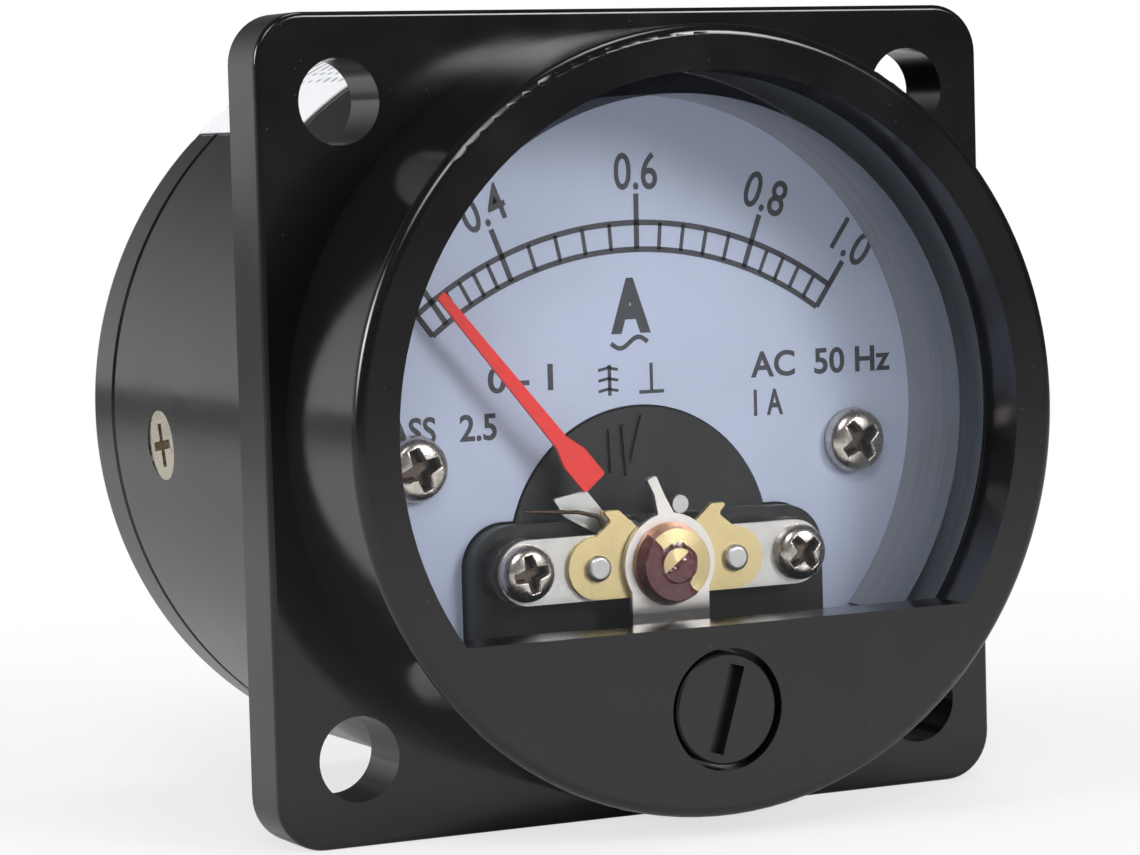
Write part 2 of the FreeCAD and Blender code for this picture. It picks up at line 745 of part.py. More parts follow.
def zero_lever():
    """Plated lever: ring on the nut's neck, index arm, tab, shelf, fork and spring leg."""
    ring = rod(lever_ring_radius, lever_front_y, lever_back_y, 0, spindle_z)
    tab = plate(rectangle(lever_tab_half_width, lever_shelf_z, spindle_z), lever_front_y, lever_back_y)
    arm_corners = [(x, spindle_z + rise, radius) for x, rise, radius in lever_arm_corners]
    arm = plate(arm_corners, lever_front_y, lever_back_y)
    shelf_heights = (lever_shelf_z - lever_thickness, lever_shelf_z)
    shelf = block((-lever_tab_half_width, lever_tab_half_width), (fork_front_y, lever_back_y), shelf_heights)
    fork_back_y = fork_front_y + lever_thickness
    round_end = lever_fork_corner_radius
    fork = plate([(-lever_fork_half_width, lever_fork_end_z, round_end),
                  (lever_fork_half_width, lever_fork_end_z, round_end),
                  (lever_tab_half_width, lever_shelf_z, 0.0),
                  (-lever_tab_half_width, lever_shelf_z, 0.0)], fork_front_y, fork_back_y)
    slot_half = zero_pin_radius + lever_fork_gap
    slot = block((-slot_half, slot_half), (fork_front_y - cut_margin, fork_back_y + cut_margin),
                 (lever_fork_end_z - cut_margin, lever_fork_slot_top_z - slot_half))
    slot_end = hole(slot_half, fork_front_y, fork_back_y, 0, lever_fork_slot_top_z - slot_half)
    leg = block((lever_leg_x - lever_leg_width / 2, lever_leg_x + lever_leg_width / 2),
                (lever_back_y, lever_leg_end_y), shelf_heights)
    bore = hole(lock_nut_neck_radius + lever_running_gap, lever_front_y, lever_back_y, 0, spindle_z)
    return ring.fuse([tab, arm, shelf, fork.cut([slot, slot_end]), leg]).removeSplitter().cut(bore)


def hairspring():
    """Flat spiral of bronze ribbon, in half turns, whose outer end is drawn out to the spring leg."""
    inner = collet_radius + hairspring_gap
    half_turns = 2 * hairspring_turns
    growth = (hairspring_outer_radius - inner) / half_turns
    stops = []
    for step in range(half_turns + 1):
        x, z = about_spindle(inner + growth * step, hairspring_end_angle + 180 * (step - half_turns))
        stops.append(Vector(x, hairspring_front_y, z))
    coil_edges = []
    for side_offset in (0.0, hairspring_ribbon):
        for start, end in zip(stops, stops[1:]):
            centre = (start + end) * 0.5
            outward = (start - centre).normalize() * side_offset
            across = Vector(0, 1, 0).cross(start - centre)
            middle = centre + across + across.normalize() * side_offset
            coil_edges.append(Part.Arc(start + outward, middle, end - outward).toShape())
    first = Part.makeLine(stops[0], stops[0] + (stops[0] - stops[1]).normalize() * hairspring_ribbon)
    last = Part.makeLine(stops[-1], stops[-1] + (stops[-1] - stops[-2]).normalize() * hairspring_ribbon)
    ribbon = Part.Face(Part.Wire(Part.__sortEdges__(coil_edges + [first, last])))
    coil = ribbon.extrude(Vector(0, hairspring_width, 0))
    tail_z = lever_shelf_z - lever_thickness
    tail_x = lever_leg_x - lever_leg_width / 2 - hairspring_ribbon
    x_end, z_end = about_spindle(hairspring_outer_radius + hairspring_ribbon / 2, hairspring_end_angle)
    tail_half = hairspring_tail_width / 2
    tail = plate([(x_end - tail_half, z_end + hairspring_tail_width, 0.0),
                  (x_end + tail_half, z_end + hairspring_tail_width, 0.0),
                  (tail_x + hairspring_ribbon, tail_z, 0.0), (tail_x, tail_z, 0.0)],
                 hairspring_front_y, hairspring_front_y + hairspring_width)
    return coil.fuse(tail).removeSplitter()


# Moving system
def spindle():
    """Steel shaft with a conical pivot at each end."""
    shaft = rod(spindle_radius, spindle_front_y, spindle_back_y, 0, spindle_z)
    front_tip_y = spindle_front_y - pivot_length
    back_tip_y = spindle_back_y + pivot_length
    front = taper(pivot_tip_radius, pivot_root_radius, front_tip_y, spindle_front_y, 0, spindle_z)
    back = taper(pivot_root_radius, pivot_tip_radius, spindle_back_y, back_tip_y, 0, spindle_z)
    return shaft.fuse([front, back])


def pointer():
    """Red pointer: fine shaft that widens to a paddle on the carrier."""
    half = pointer_paddle_width / 2
    tip = spindle_z + pointer_tip_radius
    neck = spindle_z + pointer_neck_radius
    paddle = spindle_z + pointer_paddle_radius
    root = spindle_z + pointer_root_radius
    right_side = [(half, root, pointer_corner_radius),
                  (half, paddle, pointer_shoulder_radius),
                  (pointer_shaft_width / 2, neck, pointer_neck_fillet),
                  (pointer_tip_width / 2, tip, pointer_corner_radius)]
    corners = right_side + [(-x, z, radius) for x, z, radius in reversed(right_side)]
    return turned(plate(corners, pointer_front_y, carrier_front_y), pointer_angle, 0, spindle_z)


def carrier_arm(corners, angle):
    """Arm of the carrier from (across, along, corner radius) points, turned to its angle."""
    placed = [(across, spindle_z + along, radius) for across, along, radius in corners]
    return turned(plate(placed, carrier_front_y, carrier_back_y), angle, 0, spindle_z)


def pointer_carrier():
    """Aluminium cross behind the pointer: main arm with a wing, and two balance arms."""
    hub = rod(carrier_hub_radius, bridge_back_y + carrier_hub_gap, carrier_back_y, 0, spindle_z)
    half = carrier_balance_width / 2
    pieces = [carrier_arm(carrier_main_arm, pointer_angle),
              carrier_arm(rectangle(half, 0, balance_side_radius), pointer_angle + balance_side_angle),
              carrier_arm(rectangle(half, 0, balance_tail_radius), pointer_angle + 180)]
    bore = hole(spindle_radius, bridge_back_y, carrier_back_y, 0, spindle_z)
    return hub.fuse(pieces).removeSplitter().cut(bore)


def balance_weights():
    """Small weights on the side arm and on the tail of the carrier."""
    weights = []
    front_y = carrier_front_y - balance_weight_length
    for radius, angle in ((balance_side_radius, pointer_angle + balance_side_angle),
                          (balance_tail_radius, pointer_angle + 180)):
        x, z = about_spindle(radius, angle)
        weights.append(rod(balance_weight_radius, front_y, carrier_front_y, x, z))
    return weights


def hairspring_collet():
    """Brass ring on the spindle, behind the carrier."""
    return tube(collet_radius, spindle_radius, carrier_back_y, collet_back_y, 0, spindle_z)


def iron_arms():
    """Brass holder that carries the moving iron inside the coil."""
    y_low = winding_front_y + iron_inset
    y_high = winding_back_y - iron_inset
    hub = tube(spindle_radius + iron_hub_wall, spindle_radius, y_low, y_high, 0, spindle_z)
    foot_z = spindle_z + spindle_radius + iron_hub_wall / 2
    web = plate(rectangle(iron_arm_thickness / 2, foot_z, spindle_z + moving_iron_radius), y_low, y_high)
    return hub.fuse(turned(web, moving_iron_angle, 0, spindle_z)).removeSplitter()


def moving_iron():
    """Curved soft-iron vane on the holder, opposite the pointer so that it helps to balance it."""
    half = moving_iron_angle_span / 2
    return sector(moving_iron_radius + moving_iron_thickness, moving_iron_radius,
                  winding_front_y + iron_inset, winding_back_y - iron_inset,
                  moving_iron_angle - half, moving_iron_angle + half, 0, spindle_z)


def damping_vane():
    """Thin aluminium vane that swings in the air chamber."""
    y_low = bobbin_back_y + chamber_wall + vane_clearance
    y_high = chamber_back_y - vane_clearance
    reach = chamber_radius - chamber_wall - vane_clearance
    hub = tube(spindle_radius + iron_hub_wall, spindle_radius, y_low, y_high, 0, spindle_z)
    foot_z = spindle_z + spindle_radius + iron_hub_wall / 2
    blade = plate(rectangle(vane_thickness / 2, foot_z, spindle_z + reach), y_low, y_high)
    return hub.fuse(turned(blade, moving_iron_angle, 0, spindle_z)).removeSplitter()


# Coil and damper housing
def eared_disc(radius, y_front, y_back):
    """Disc about the spindle with two ears that slip over the pillars."""
    disc = rod(radius, y_front, y_back, 0, spindle_z)
    ears = [rod(ear_radius, y_front, y_back, x, z) for x, z in pillar_centres]
    holes = [hole(pillar_radius + pillar_fit, y_front, y_back, x, z) for x, z in pillar_centres]
    return disc.fuse(ears).removeSplitter().cut(holes)


def coil_bobbin():
    """Bobbin of the coil, whose eared flanges slip over the pillars."""
    outer = bobbin_bore_radius + bobbin_wall
    barrel = rod(outer, bobbin_front_y, bobbin_back_y, 0, spindle_z)
    front = eared_disc(bobbin_flange_radius, bobbin_front_y, winding_front_y)
    back = eared_disc(bobbin_flange_radius, winding_back_y, bobbin_back_y)
    bore = hole(bobbin_bore_radius, bobbin_front_y, bobbin_back_y, 0, spindle_z)
    return barrel.fuse([front, back]).removeSplitter().cut(bore)


def coil_winding():
    """Wire of the coil as one plain ring between the flanges."""
    inner = bobbin_bore_radius + bobbin_wall
    return tube(inner + winding_depth, inner, winding_front_y, winding_back_y, 0, spindle_z)


def fixed_iron():
    """Curved soft-iron strip against the bore of the bobbin."""
    half = fixed_iron_angle_span / 2
    return sector(bobbin_bore_radius, bobbin_bore_radius - fixed_iron_thickness,
                  winding_front_y + iron_inset, winding_back_y - iron_inset,
                  fixed_iron_angle - half, fixed_iron_angle + half, 0, spindle_z)


def damping_chamber():
    """Shallow moulded cup behind the coil, with ears on the pillars."""
    cup = eared_disc(chamber_radius, bobbin_back_y, chamber_back_y)
    floor_y = bobbin_back_y + chamber_wall
    hollow = rod(chamber_radius - chamber_wall, floor_y, chamber_back_y + cut_margin, 0, spindle_z)
    return cup.cut([hollow, hole(chamber_hole_radius, bobbin_back_y, chamber_back_y, 0, spindle_z)])


def chamber_cover():
    """Flat lid of the air chamber."""
    cover = eared_disc(chamber_radius, chamber_back_y, cover_plate_back_y)
    return cover.cut(hole(rear_jewel_radius + pillar_fit, chamber_back_y, cover_plate_back_y, 0, spindle_z))


def frame_pillars():
    """Two threaded pillars that stack the coil and the chamber behind the frame."""
    pillars = []
    for x, z in pillar_centres:
        pillar = rod(pillar_radius, frame_back_y, cover_plate_back_y, x, z)
        tapped_front_y = strap_back_y - pillar_screw_length
        tapped = rod(pillar_screw_shank_radius, tapped_front_y, cover_plate_back_y + cut_margin, x, z)
        pillars.append(pillar.cut(tapped))
    return pillars


def rear_strap():
    """Metal strap with rounded ends across the pillars, which carries the rear bearing."""
    half = rear_strap_half_width
    front_y = cover_plate_back_y
    middle = plate(rectangle(pillar_reach, spindle_z - half, spindle_z + half), front_y, strap_back_y)
    ends = [rod(half, front_y, strap_back_y, x, z) for x, z in pillar_centres]
    holes = [hole(pillar_screw_shank_radius, front_y, strap_back_y, x, z) for x, z in pillar_centres]
    holes.append(hole(rear_jewel_radius, front_y, strap_back_y, 0, spindle_z))
    return middle.fuse(ends).removeSplitter().cut(holes)


def strap_screws():
    """Two screws from the rear through the strap into the pillars."""
    screws = []
    top_y = strap_back_y + pillar_screw_head_height
    reach = pillar_screw_head_radius
    half = pillar_screw_slot_width / 2
    slot_depths = (top_y - pillar_screw_slot_depth, top_y + cut_margin)
    for x, z in pillar_centres:
        head = rod(pillar_screw_head_radius, strap_back_y, top_y, x, z)
        head = head.makeFillet(pillar_screw_head_round, circle_edges(head, pillar_screw_head_radius, top_y))
        slot = block((x - reach, x + reach), slot_depths, (z - half, z + half))
        shank = rod(pillar_screw_shank_radius, strap_back_y - pillar_screw_length, strap_back_y, x, z)
        screws.append(head.cut(slot).fuse(shank))
    return screws


def rear_jewel_screw():
    """Bearing screw with a cup for the rear pivot."""
    front_y = spindle_back_y - rear_jewel_lap
    back_y = strap_back_y + rear_jewel_proud
    half = rear_jewel_slot_width / 2
    body = rod(rear_jewel_radius, front_y, back_y, 0, spindle_z)
    cup_back_y = spindle_back_y + pivot_length + pivot_play
    cup = taper(jewel_cup_radius, 0, front_y, cup_back_y, 0, spindle_z)
    slot = block((-rear_jewel_radius, rear_jewel_radius),
                 (back_y - rear_jewel_slot_depth, back_y + cut_margin), (spindle_z - half, spindle_z + half))
    return body.cut([cup, slot])


def rear_lock_nut():
    """Hexagon nut that locks the rear bearing screw."""
    nut = hexagon(rear_nut_flats, strap_back_y, strap_back_y + rear_nut_thickness, 0, spindle_z)
    return nut.cut(hole(rear_jewel_radius, strap_back_y, strap_back_y + rear_nut_thickness, 0, spindle_z))


# Rear can
def side_direction(side):
    """Unit vector of a side screw, pointing away from the meter's axis."""
    lean = math.radians(side_screw_angle)
    return Vector(side * math.cos(lean), 0, side * math.sin(lean))


def side_screw_axis_rod(side, radius):
    """Cutting cylinder on the axis of a side screw, from its tip to beyond the can."""
    start = can_radius - side_screw_length
    direction = side_direction(side)
    origin = direction * start + Vector(0, side_screw_y, 0)
    return Part.makeCylinder(radius, can_radius + cut_margin - start, origin, direction)


def side_screw_boss(side):
    """Boss inside the skirt that the side screw bites into."""
    outer = frame_radius - frame_skirt_wall / 2
    start = frame_radius - frame_skirt_wall - side_boss_length
    direction = side_direction(side)
    origin = direction * start + Vector(0, side_screw_y, 0)
    return Part.makeCylinder(side_boss_radius, outer - start, origin, direction)


def side_screw_cone(side):
    """Countersunk head, flush with the can at its rim, and the reach of its face."""
    direction = side_direction(side)
    depth = side_screw_head_radius - side_screw_shank_radius
    face_reach = math.sqrt(can_radius ** 2 - side_screw_head_radius ** 2)
    origin = direction * (face_reach - depth) + Vector(0, side_screw_y, 0)
    cone = Part.makeCone(side_screw_shank_radius, side_screw_head_radius, depth, origin, direction)
    return cone, face_reach


def side_screws():
    """Two countersunk screws with a cross recess."""
    screws = []
    start = can_radius - side_screw_length
    wing = side_screw_head_radius * recess_reach_share
    blade = side_screw_head_radius * recess_width_share
    for side in (-1, 1):
        direction = side_direction(side)
        cone, face_reach = side_screw_cone(side)
        neck_reach = face_reach - side_screw_head_radius + side_screw_shank_radius
        shank = Part.makeCylinder(side_screw_shank_radius, neck_reach - start,
                                  direction * start + Vector(0, side_screw_y, 0), direction)
        depths = (face_reach - side_recess_depth, face_reach + cut_margin)
        cross = block(depths, (-wing, wing), (-blade, blade))
        cross = cross.fuse(block(depths, (-blade, blade), (-wing, wing)))
        cross.rotate(Vector(0, 0, 0), Vector(1, 0, 0), side_recess_turn)
        facing = -side_screw_angle if side > 0 else 180 - side_screw_angle
        cross.rotate(Vector(0, 0, 0), Vector(0, 1, 0), facing)
        cross.translate(Vector(0, side_screw_y, 0))
        screws.append(cone.fuse(shank).cut(cross))
    return screws


def rear_can():
    """Plain black can over the sleeve, seated in the flange, with two countersinks."""
    can = tube(can_radius, can_bore_radius, -can_seat_depth, can_length)
    can = can.makeChamfer(can_edge_chamfer, circle_edges(can, can_radius, can_length))
    cutters = []
    for side in (-1, 1):
        cone, face_reach = side_screw_cone(side)
        mouth_start = side_direction(side) * face_reach + Vector(0, side_screw_y, 0)
        mouth = Part.makeCylinder(side_screw_head_radius, cut_margin, mouth_start, side_direction(side))
        cutters += [cone, mouth, side_screw_axis_rod(side, side_screw_shank_radius)]
    return can.cut(cutters)


def rear_cover():
    """End cover with a spigot in the can and a raised pad round each terminal."""
    rim = rod(can_radius, cover_front_y, cover_back_y)
    rim = rim.makeFillet(cover_edge_radius, circle_edges(rim, can_radius, cover_back_y))
    rim = rim.makeChamfer(can_edge_chamfer, circle_edges(rim, can_radius, cover_front_y))
    spigot_radius = can_bore_radius - sleeve_clearance
    spigot_front_y = cover_front_y - cover_spigot_length
    pieces = [rod(spigot_radius, spigot_front_y, cover_front_y)]
    cutters = [rod(spigot_radius - cover_spigot_wall, spigot_front_y - cut_margin, cover_floor_y)]
    for side in (-1, 1):
        x = side * terminal_x
        pieces.append(rod(terminal_boss_radius, cover_back_y - cover_floor / 2, terminal_face_y, x))
        cutters.append(hole(stud_radius, cover_floor_y, terminal_face_y, x))
    return rim.fuse(pieces).removeSplitter().cut(cutters)


def can_label():
    """Thin paper label wrapped over the top of the can."""
    return sector(label_inner_radius + label_thickness, label_inner_radius, label_start_y, label_end_y,
                  label_left_angle, label_right_angle)


# Terminals
def solder_tags():
    """Ring tags under the stud heads, with tails for the leads."""
    tags = []
    half = tag_tail_width / 2
    tag_front_y = cover_floor_y - tag_thickness
    tail_end_z = -tag_ring_radius - tag_tail_length
    for side in (-1, 1):
        x = side * terminal_x
        ring = rod(tag_ring_radius, tag_front_y, cover_floor_y, x)
        tail = block((x - half, x + half), (tag_front_y, cover_floor_y), (tail_end_z, 0))
        bore = hole(stud_radius, tag_front_y, cover_floor_y, x)
        tags.append(ring.fuse(tail).removeSplitter().cut(bore))
    return tags


def terminal_studs():
    """Two studs with a flat head inside the cover."""
    studs = []
    seat_y = cover_floor_y - tag_thickness
    tip_y = terminal_face_y + stud_length
    for side in (-1, 1):
        x = side * terminal_x
        shank = rod(stud_radius, seat_y, tip_y, x)
        shank = shank.makeChamfer(stud_tip_chamfer, circle_edges(shank, stud_radius, tip_y))
        studs.append(shank.fuse(rod(stud_head_radius, seat_y - stud_head_thickness, seat_y, x)))
    return studs


def terminal_nut(y_front, x):
    """Hexagon nut with its outer corners turned off."""
    y_back = y_front + nut_thickness
    corner_reach = nut_flats / 2 / math.cos(math.radians(30))
    round_off = taper(corner_reach + nut_thickness, corner_reach - nut_corner_drop, y_front, y_back, x)
    nut = hexagon(nut_flats, y_front, y_back, x).common(round_off)
    return nut.cut(hole(stud_radius, y_front, y_back, x))


def spring_washer(y_front, x):
    """Split ring under the outer nut."""
    y_back = y_front + spring_washer_thickness
    half = spring_washer_split / 2
    split = block((x, x + spring_washer_radius + cut_margin),
                  (y_front - cut_margin, y_back + cut_margin), (-half, half))
    return tube(spring_washer_radius, stud_radius, y_front, y_back, x).cut(split)


def terminal_stack():
    """Washers, nuts and spring washers of both studs, from the cover outwards."""
    washers, nuts, springs = [], [], []
    for side in (-1, 1):
        x = side * terminal_x
        y = terminal_face_y
        for outer in (False, True):
            washers.append(tube(washer_radius, stud_radius, y, y + washer_thickness, x))
            y += washer_thickness
            if outer:
                springs.append(spring_washer(y, x))
                y += spring_washer_thickness
            nuts.append(terminal_nut(y, x))
            y += nut_thickness
    return washers, nuts, springs


def coil_leads():
    """Insulated leads from the winding to the tails of the solder tags."""
    leads = []
    surface = bobbin_bore_radius + bobbin_wall + winding_depth + lead_radius
    corner_z = spindle_z + lead_corner_rise
    for side in (-1, 1):
        x, z = about_spindle(surface, side * lead_start_angle)
        points = [Vector(x, (winding_front_y + winding_back_y) / 2, z),
                  Vector(side * lead_corner_x, bobbin_back_y + lead_front_margin, corner_z),
                  Vector(side * lead_corner_x, strap_back_y + lead_back_margin, corner_z - lead_corner_drop),
                  Vector(side * terminal_x, cover_floor_y - tag_thickness - lead_radius,
                         -tag_ring_radius - tag_tail_length * lead_joint_share)]
        leads.append(bent_wire(points, lead_bend_radius, lead_radius - lead_clearance))
    return leads


# Write every piece
def main():
    """Build every piece and write it to its own file."""
    save(front_housing(), "front_housing")
    save(window_pane(), "window_pane")
    save(zero_screw(), "zero_screw")
    save(dial_plate(), "dial_plate")
    group(dial_screws(), "dial_screws")
    save(movement_frame(), "movement_frame")
    save(bridge_bar(), "bridge_bar")
    group(bridge_screws(), "bridge_screws")
    save(brass_clip(), "brass_clip")
    group(clip_rivets(), "clip_rivets")
    save(stop_wire(), "stop_wire")
    save(front_jewel_screw(), "front_jewel_screw")
    save(lock_nut(), "lock_nut")
    save(zero_lever(), "zero_lever")
    save(hairspring(), "hairspring")
    save(spindle(), "spindle")
    save(pointer(), "pointer")
    save(pointer_carrier(), "pointer_carrier")
    group(balance_weights(), "balance_weights")
    save(hairspring_collet(), "hairspring_collet")
    save(iron_arms(), "iron_arms")
    save(moving_iron(), "moving_iron")
    save(damping_vane(), "damping_vane")
    save(coil_bobbin(), "coil_bobbin")
    save(coil_winding(), "coil_winding")
    save(fixed_iron(), "fixed_iron")
    save(damping_chamber(), "damping_chamber")
    save(chamber_cover(), "chamber_cover")
    group(frame_pillars(), "frame_pillars")
    save(rear_strap(), "rear_strap")
    group(strap_screws(), "strap_screws")
    save(rear_jewel_screw(), "rear_jewel_screw")
    save(rear_lock_nut(), "rear_lock_nut")
    save(rear_can(), "rear_can")
    save(rear_cover(), "rear_cover")
    group(side_screws(), "side_screws")
    save(can_label(), "can_label")
    group(solder_tags(), "solder_tags")
    group(terminal_studs(), "terminal_studs")
    washers, nuts, springs = terminal_stack()
    group(washers, "stud_washers")
    group(nuts, "terminal_nuts")
    group(springs, "spring_washers")
    group(coil_leads(), "coil_leads")


main()
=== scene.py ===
# Looks of an analog panel meter: finishes, dial printing, screw recesses, threads and a studio.
# Everything is in metres, in the frame of the solids: +Z up, the dial faces -Y.
import math

import bmesh
import bpy
from bpy.props import FloatProperty, FloatVectorProperty, PointerProperty
from mathutils import Matrix, Vector, noise


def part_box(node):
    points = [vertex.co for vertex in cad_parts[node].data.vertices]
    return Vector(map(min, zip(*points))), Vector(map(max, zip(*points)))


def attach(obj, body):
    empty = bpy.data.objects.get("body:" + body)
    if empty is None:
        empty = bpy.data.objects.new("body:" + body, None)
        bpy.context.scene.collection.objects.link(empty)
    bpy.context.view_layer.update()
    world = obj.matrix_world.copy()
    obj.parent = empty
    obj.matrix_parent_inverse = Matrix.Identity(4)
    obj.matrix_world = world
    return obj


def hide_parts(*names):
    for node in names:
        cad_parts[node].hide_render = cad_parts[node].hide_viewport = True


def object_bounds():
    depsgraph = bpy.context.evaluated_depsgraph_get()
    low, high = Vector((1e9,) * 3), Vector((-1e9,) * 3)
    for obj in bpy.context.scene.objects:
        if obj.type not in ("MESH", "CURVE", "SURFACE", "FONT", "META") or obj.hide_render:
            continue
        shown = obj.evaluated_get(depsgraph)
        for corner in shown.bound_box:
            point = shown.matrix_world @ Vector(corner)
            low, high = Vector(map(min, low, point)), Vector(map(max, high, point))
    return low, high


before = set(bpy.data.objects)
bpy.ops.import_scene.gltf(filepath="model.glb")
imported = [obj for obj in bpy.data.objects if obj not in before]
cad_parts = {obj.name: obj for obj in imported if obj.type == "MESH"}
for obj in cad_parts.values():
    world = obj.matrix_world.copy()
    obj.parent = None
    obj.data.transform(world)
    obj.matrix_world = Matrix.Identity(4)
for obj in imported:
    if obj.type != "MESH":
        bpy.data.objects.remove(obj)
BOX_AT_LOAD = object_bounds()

bl_info = {
    "name": "Panel Meter Looks",
    "version": (1, 0, 0),
    "blender": (4, 5, 0),
    "location": "View3D > Sidebar > Meter",
    "description": "Finishes, dial printing and small detail of a moving-iron panel meter",
    "category": "Object",
}

MM = 0.001
IMAGE_SIZE = (1140, 855)
DIAL_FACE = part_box("dial_plate")[0].y
SPINDLE_LOW, SPINDLE_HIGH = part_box("spindle")
SPINDLE = (SPINDLE_LOW + SPINDLE_HIGH) / 2
FLOOR_HEIGHT = BOX_AT_LOAD[0].z

# Dial printing: degrees of the numbered ticks, positive to the left; the rest in millimetres
SCALE_ANGLES = (37.77, 34.8, 21.94, -0.61, -20.21, -35.13)
# Numeral, its width to its height, and how far it stands off its tick so that neighbours keep apart
SCALE_NUMERALS = (("0", 0.55, 1.6), ("0.2", 1.3, -1.2), ("0.4", 1.3, 0.0), ("0.6", 1.3, 0.0),
                  ("0.8", 1.3, 0.0), ("1.0", 1.12, 0.0))
MINOR_STEPS = 5
# Word, the x and z of its middle, and its width
SIDE_WORDS = (("CLASS", -14.9, -0.21, 5.0), ("2.5", -9.85, -0.21, 2.25), ("0 - 1", -7.2, 2.33, 4.0),
              ("AC  50 Hz", 11.9, 2.36, 9.2), ("1 A", 8.4, 0.2, 1.9))
WORD_HEIGHT = 1.5

# Places and sizes on the solids that the finishes and the finished pieces follow, in millimetres
PANE_THICKNESS = 1.0
PANE_WALL_RADIUS = 17.7
NUT_FACE_RADIUS = 2.02
NUT_DEPTH = 0.85
LACQUER_THICKNESS = 0.045
STUD_HEAD = 1.6
STUD_RADIUS = 1.5
LABEL_PRINT_START = -11.5
# Painted shade on the zero lever: its plate is painted darker below this height, fading in over the next
# distance
LEVER_SHADE_HEIGHT = -10.3
LEVER_SHADE_FADE = 0.5
# Shares: brightness left on the lever's painted-shade part, and a screw head's height to its radius
LEVER_SHADE_SHARE = 0.2
SCREW_HEAD_SHARE = 0.62

# Studio: name, place, size in metres and power of each lamp; the beam's width is in degrees
LAMPS = (("key_lamp", (0.34, -0.62, 0.28), 0.3, 0.125),
         ("fill_lamp", (-0.25, -0.5, 0.5), 0.45, 0.14),
         ("left_lamp", (-0.6, 0.0, 0.2), 0.5, 0.4),
         ("top_lamp", (0.1, 0.05, 0.6), 0.5, 0.12))
LAMP_SPREAD = 30.0
# The floor turns white between these distances, in millimetres, and starts with this share of white
FLOOR_FADE = (40.0, 110.0)
FLOOR_GLOW = 0.7
FLOOR_HALF_WIDTH = 2.5
# Surroundings: direction of the bright side, where it begins and is full, and strengths
BRIGHT_SIDE = (-0.6, 0.8, -1.0)
BRIGHT_FROM, BRIGHT_TO = 0.1, 0.8
DIM_SIDE = 0.05
AMBIENT = 0.32

# Camera: azimuth, elevation and roll in degrees; place and distance in metres
CAMERA_ANGLES = (-26.73, 4.18, -1.57)
CAMERA_TARGET = (-0.00256, 0.0, -0.0008)
CAMERA_DISTANCE = 0.22152
CAMERA_FOCAL_PIXELS = 3938.76
CAMERA_CLIP = (0.01, 20.0)
SENSOR_WIDTH = 36.0


# Sizes and colours that a user may change
def length(name, description, default):
    return FloatProperty(name=name, description=description, default=default, min=0.0, unit="LENGTH",
                         precision=5)


def colour(name, description, default):
    return FloatVectorProperty(name=name, description=description, default=default, size=3,
                               min=0.0, max=1.0, subtype="COLOR")


class MeterSizes(bpy.types.PropertyGroup):
    """Sizes of the dial printing and of the small detail"""
    scale_centre_drop: length("Scale centre", "Distance of the scale's centre below the meter's axis",
                              0.01114)
    scale_outer: length("Outer arc", "Radius of the outer arc of the scale", 0.02179)
    scale_inner: length("Inner arc", "Radius of the inner arc of the scale", 0.0203)
    tick_outer: length("Tick end", "Radius at which a numbered tick ends", 0.0234)
    numeral_radius: length("Numerals", "Radius on which the numerals stand", 0.02465)
    numeral_height: length("Numeral height", "Height of a numeral", 0.0021)
    line_width: length("Line width", "Width of the arcs and of the numbered ticks", 0.00032)
    fine_width: length("Fine line", "Width of the ticks between the numbers", 0.00023)
    ink_thickness: length("Ink", "Thickness of the printed ink", 0.00001)
    thread_pitch: length("Thread pitch", "Pitch of the terminal studs' thread", 0.0005)
    thread_depth: length("Thread depth", "Depth of the terminal studs' thread", 0.00028)


class MeterColours(bpy.types.PropertyGroup):
    """Colours of the finishes"""
    moulding: colour("Black moulding", "Glossy plastic of the housing and the can", (0.006, 0.0055, 0.0065))
    inner_moulding: colour("Inner moulding", "Plastic of the movement frame", (0.007, 0.007, 0.0075))
    dial: colour("Dial", "Painted dial sheet", (0.46, 0.52, 0.68))
    ink: colour("Ink", "Printing on the dial", (0.03, 0.032, 0.045))
    pointer: colour("Pointer", "Lacquer of the pointer", (0.80, 0.022, 0.016))
    nickel: colour("Nickel", "Plated screws", (0.66, 0.61, 0.56))
    plate: colour("Plated steel", "Bridge", (0.67, 0.665, 0.65))
    lever: colour("Lever plate", "Zero lever", (0.84, 0.81, 0.78))
    brass: colour("Brass", "Clip, collet and terminals", (0.74, 0.61, 0.33))
    copper: colour("Rose brass", "Rim of the lock nut", (0.74, 0.40, 0.27))
    bronze: colour("Bronze", "Hairspring and stop wire", (0.20, 0.12, 0.06))
    aluminium: colour("Aluminium", "Carrier, vane and rivets", (0.60, 0.60, 0.60))
    lacquer: colour("Sealing lacquer", "Drop of lacquer on the lock nut", (0.07, 0.007, 0.01))
    pane: colour("Pane wall", "Satin wall of the clear pane", (0.33, 0.35, 0.40))
    label: colour("Label", "Paper label on the can", (0.80, 0.81, 0.83))
    floor: colour("Floor", "Pale floor", (0.86, 0.86, 0.86))


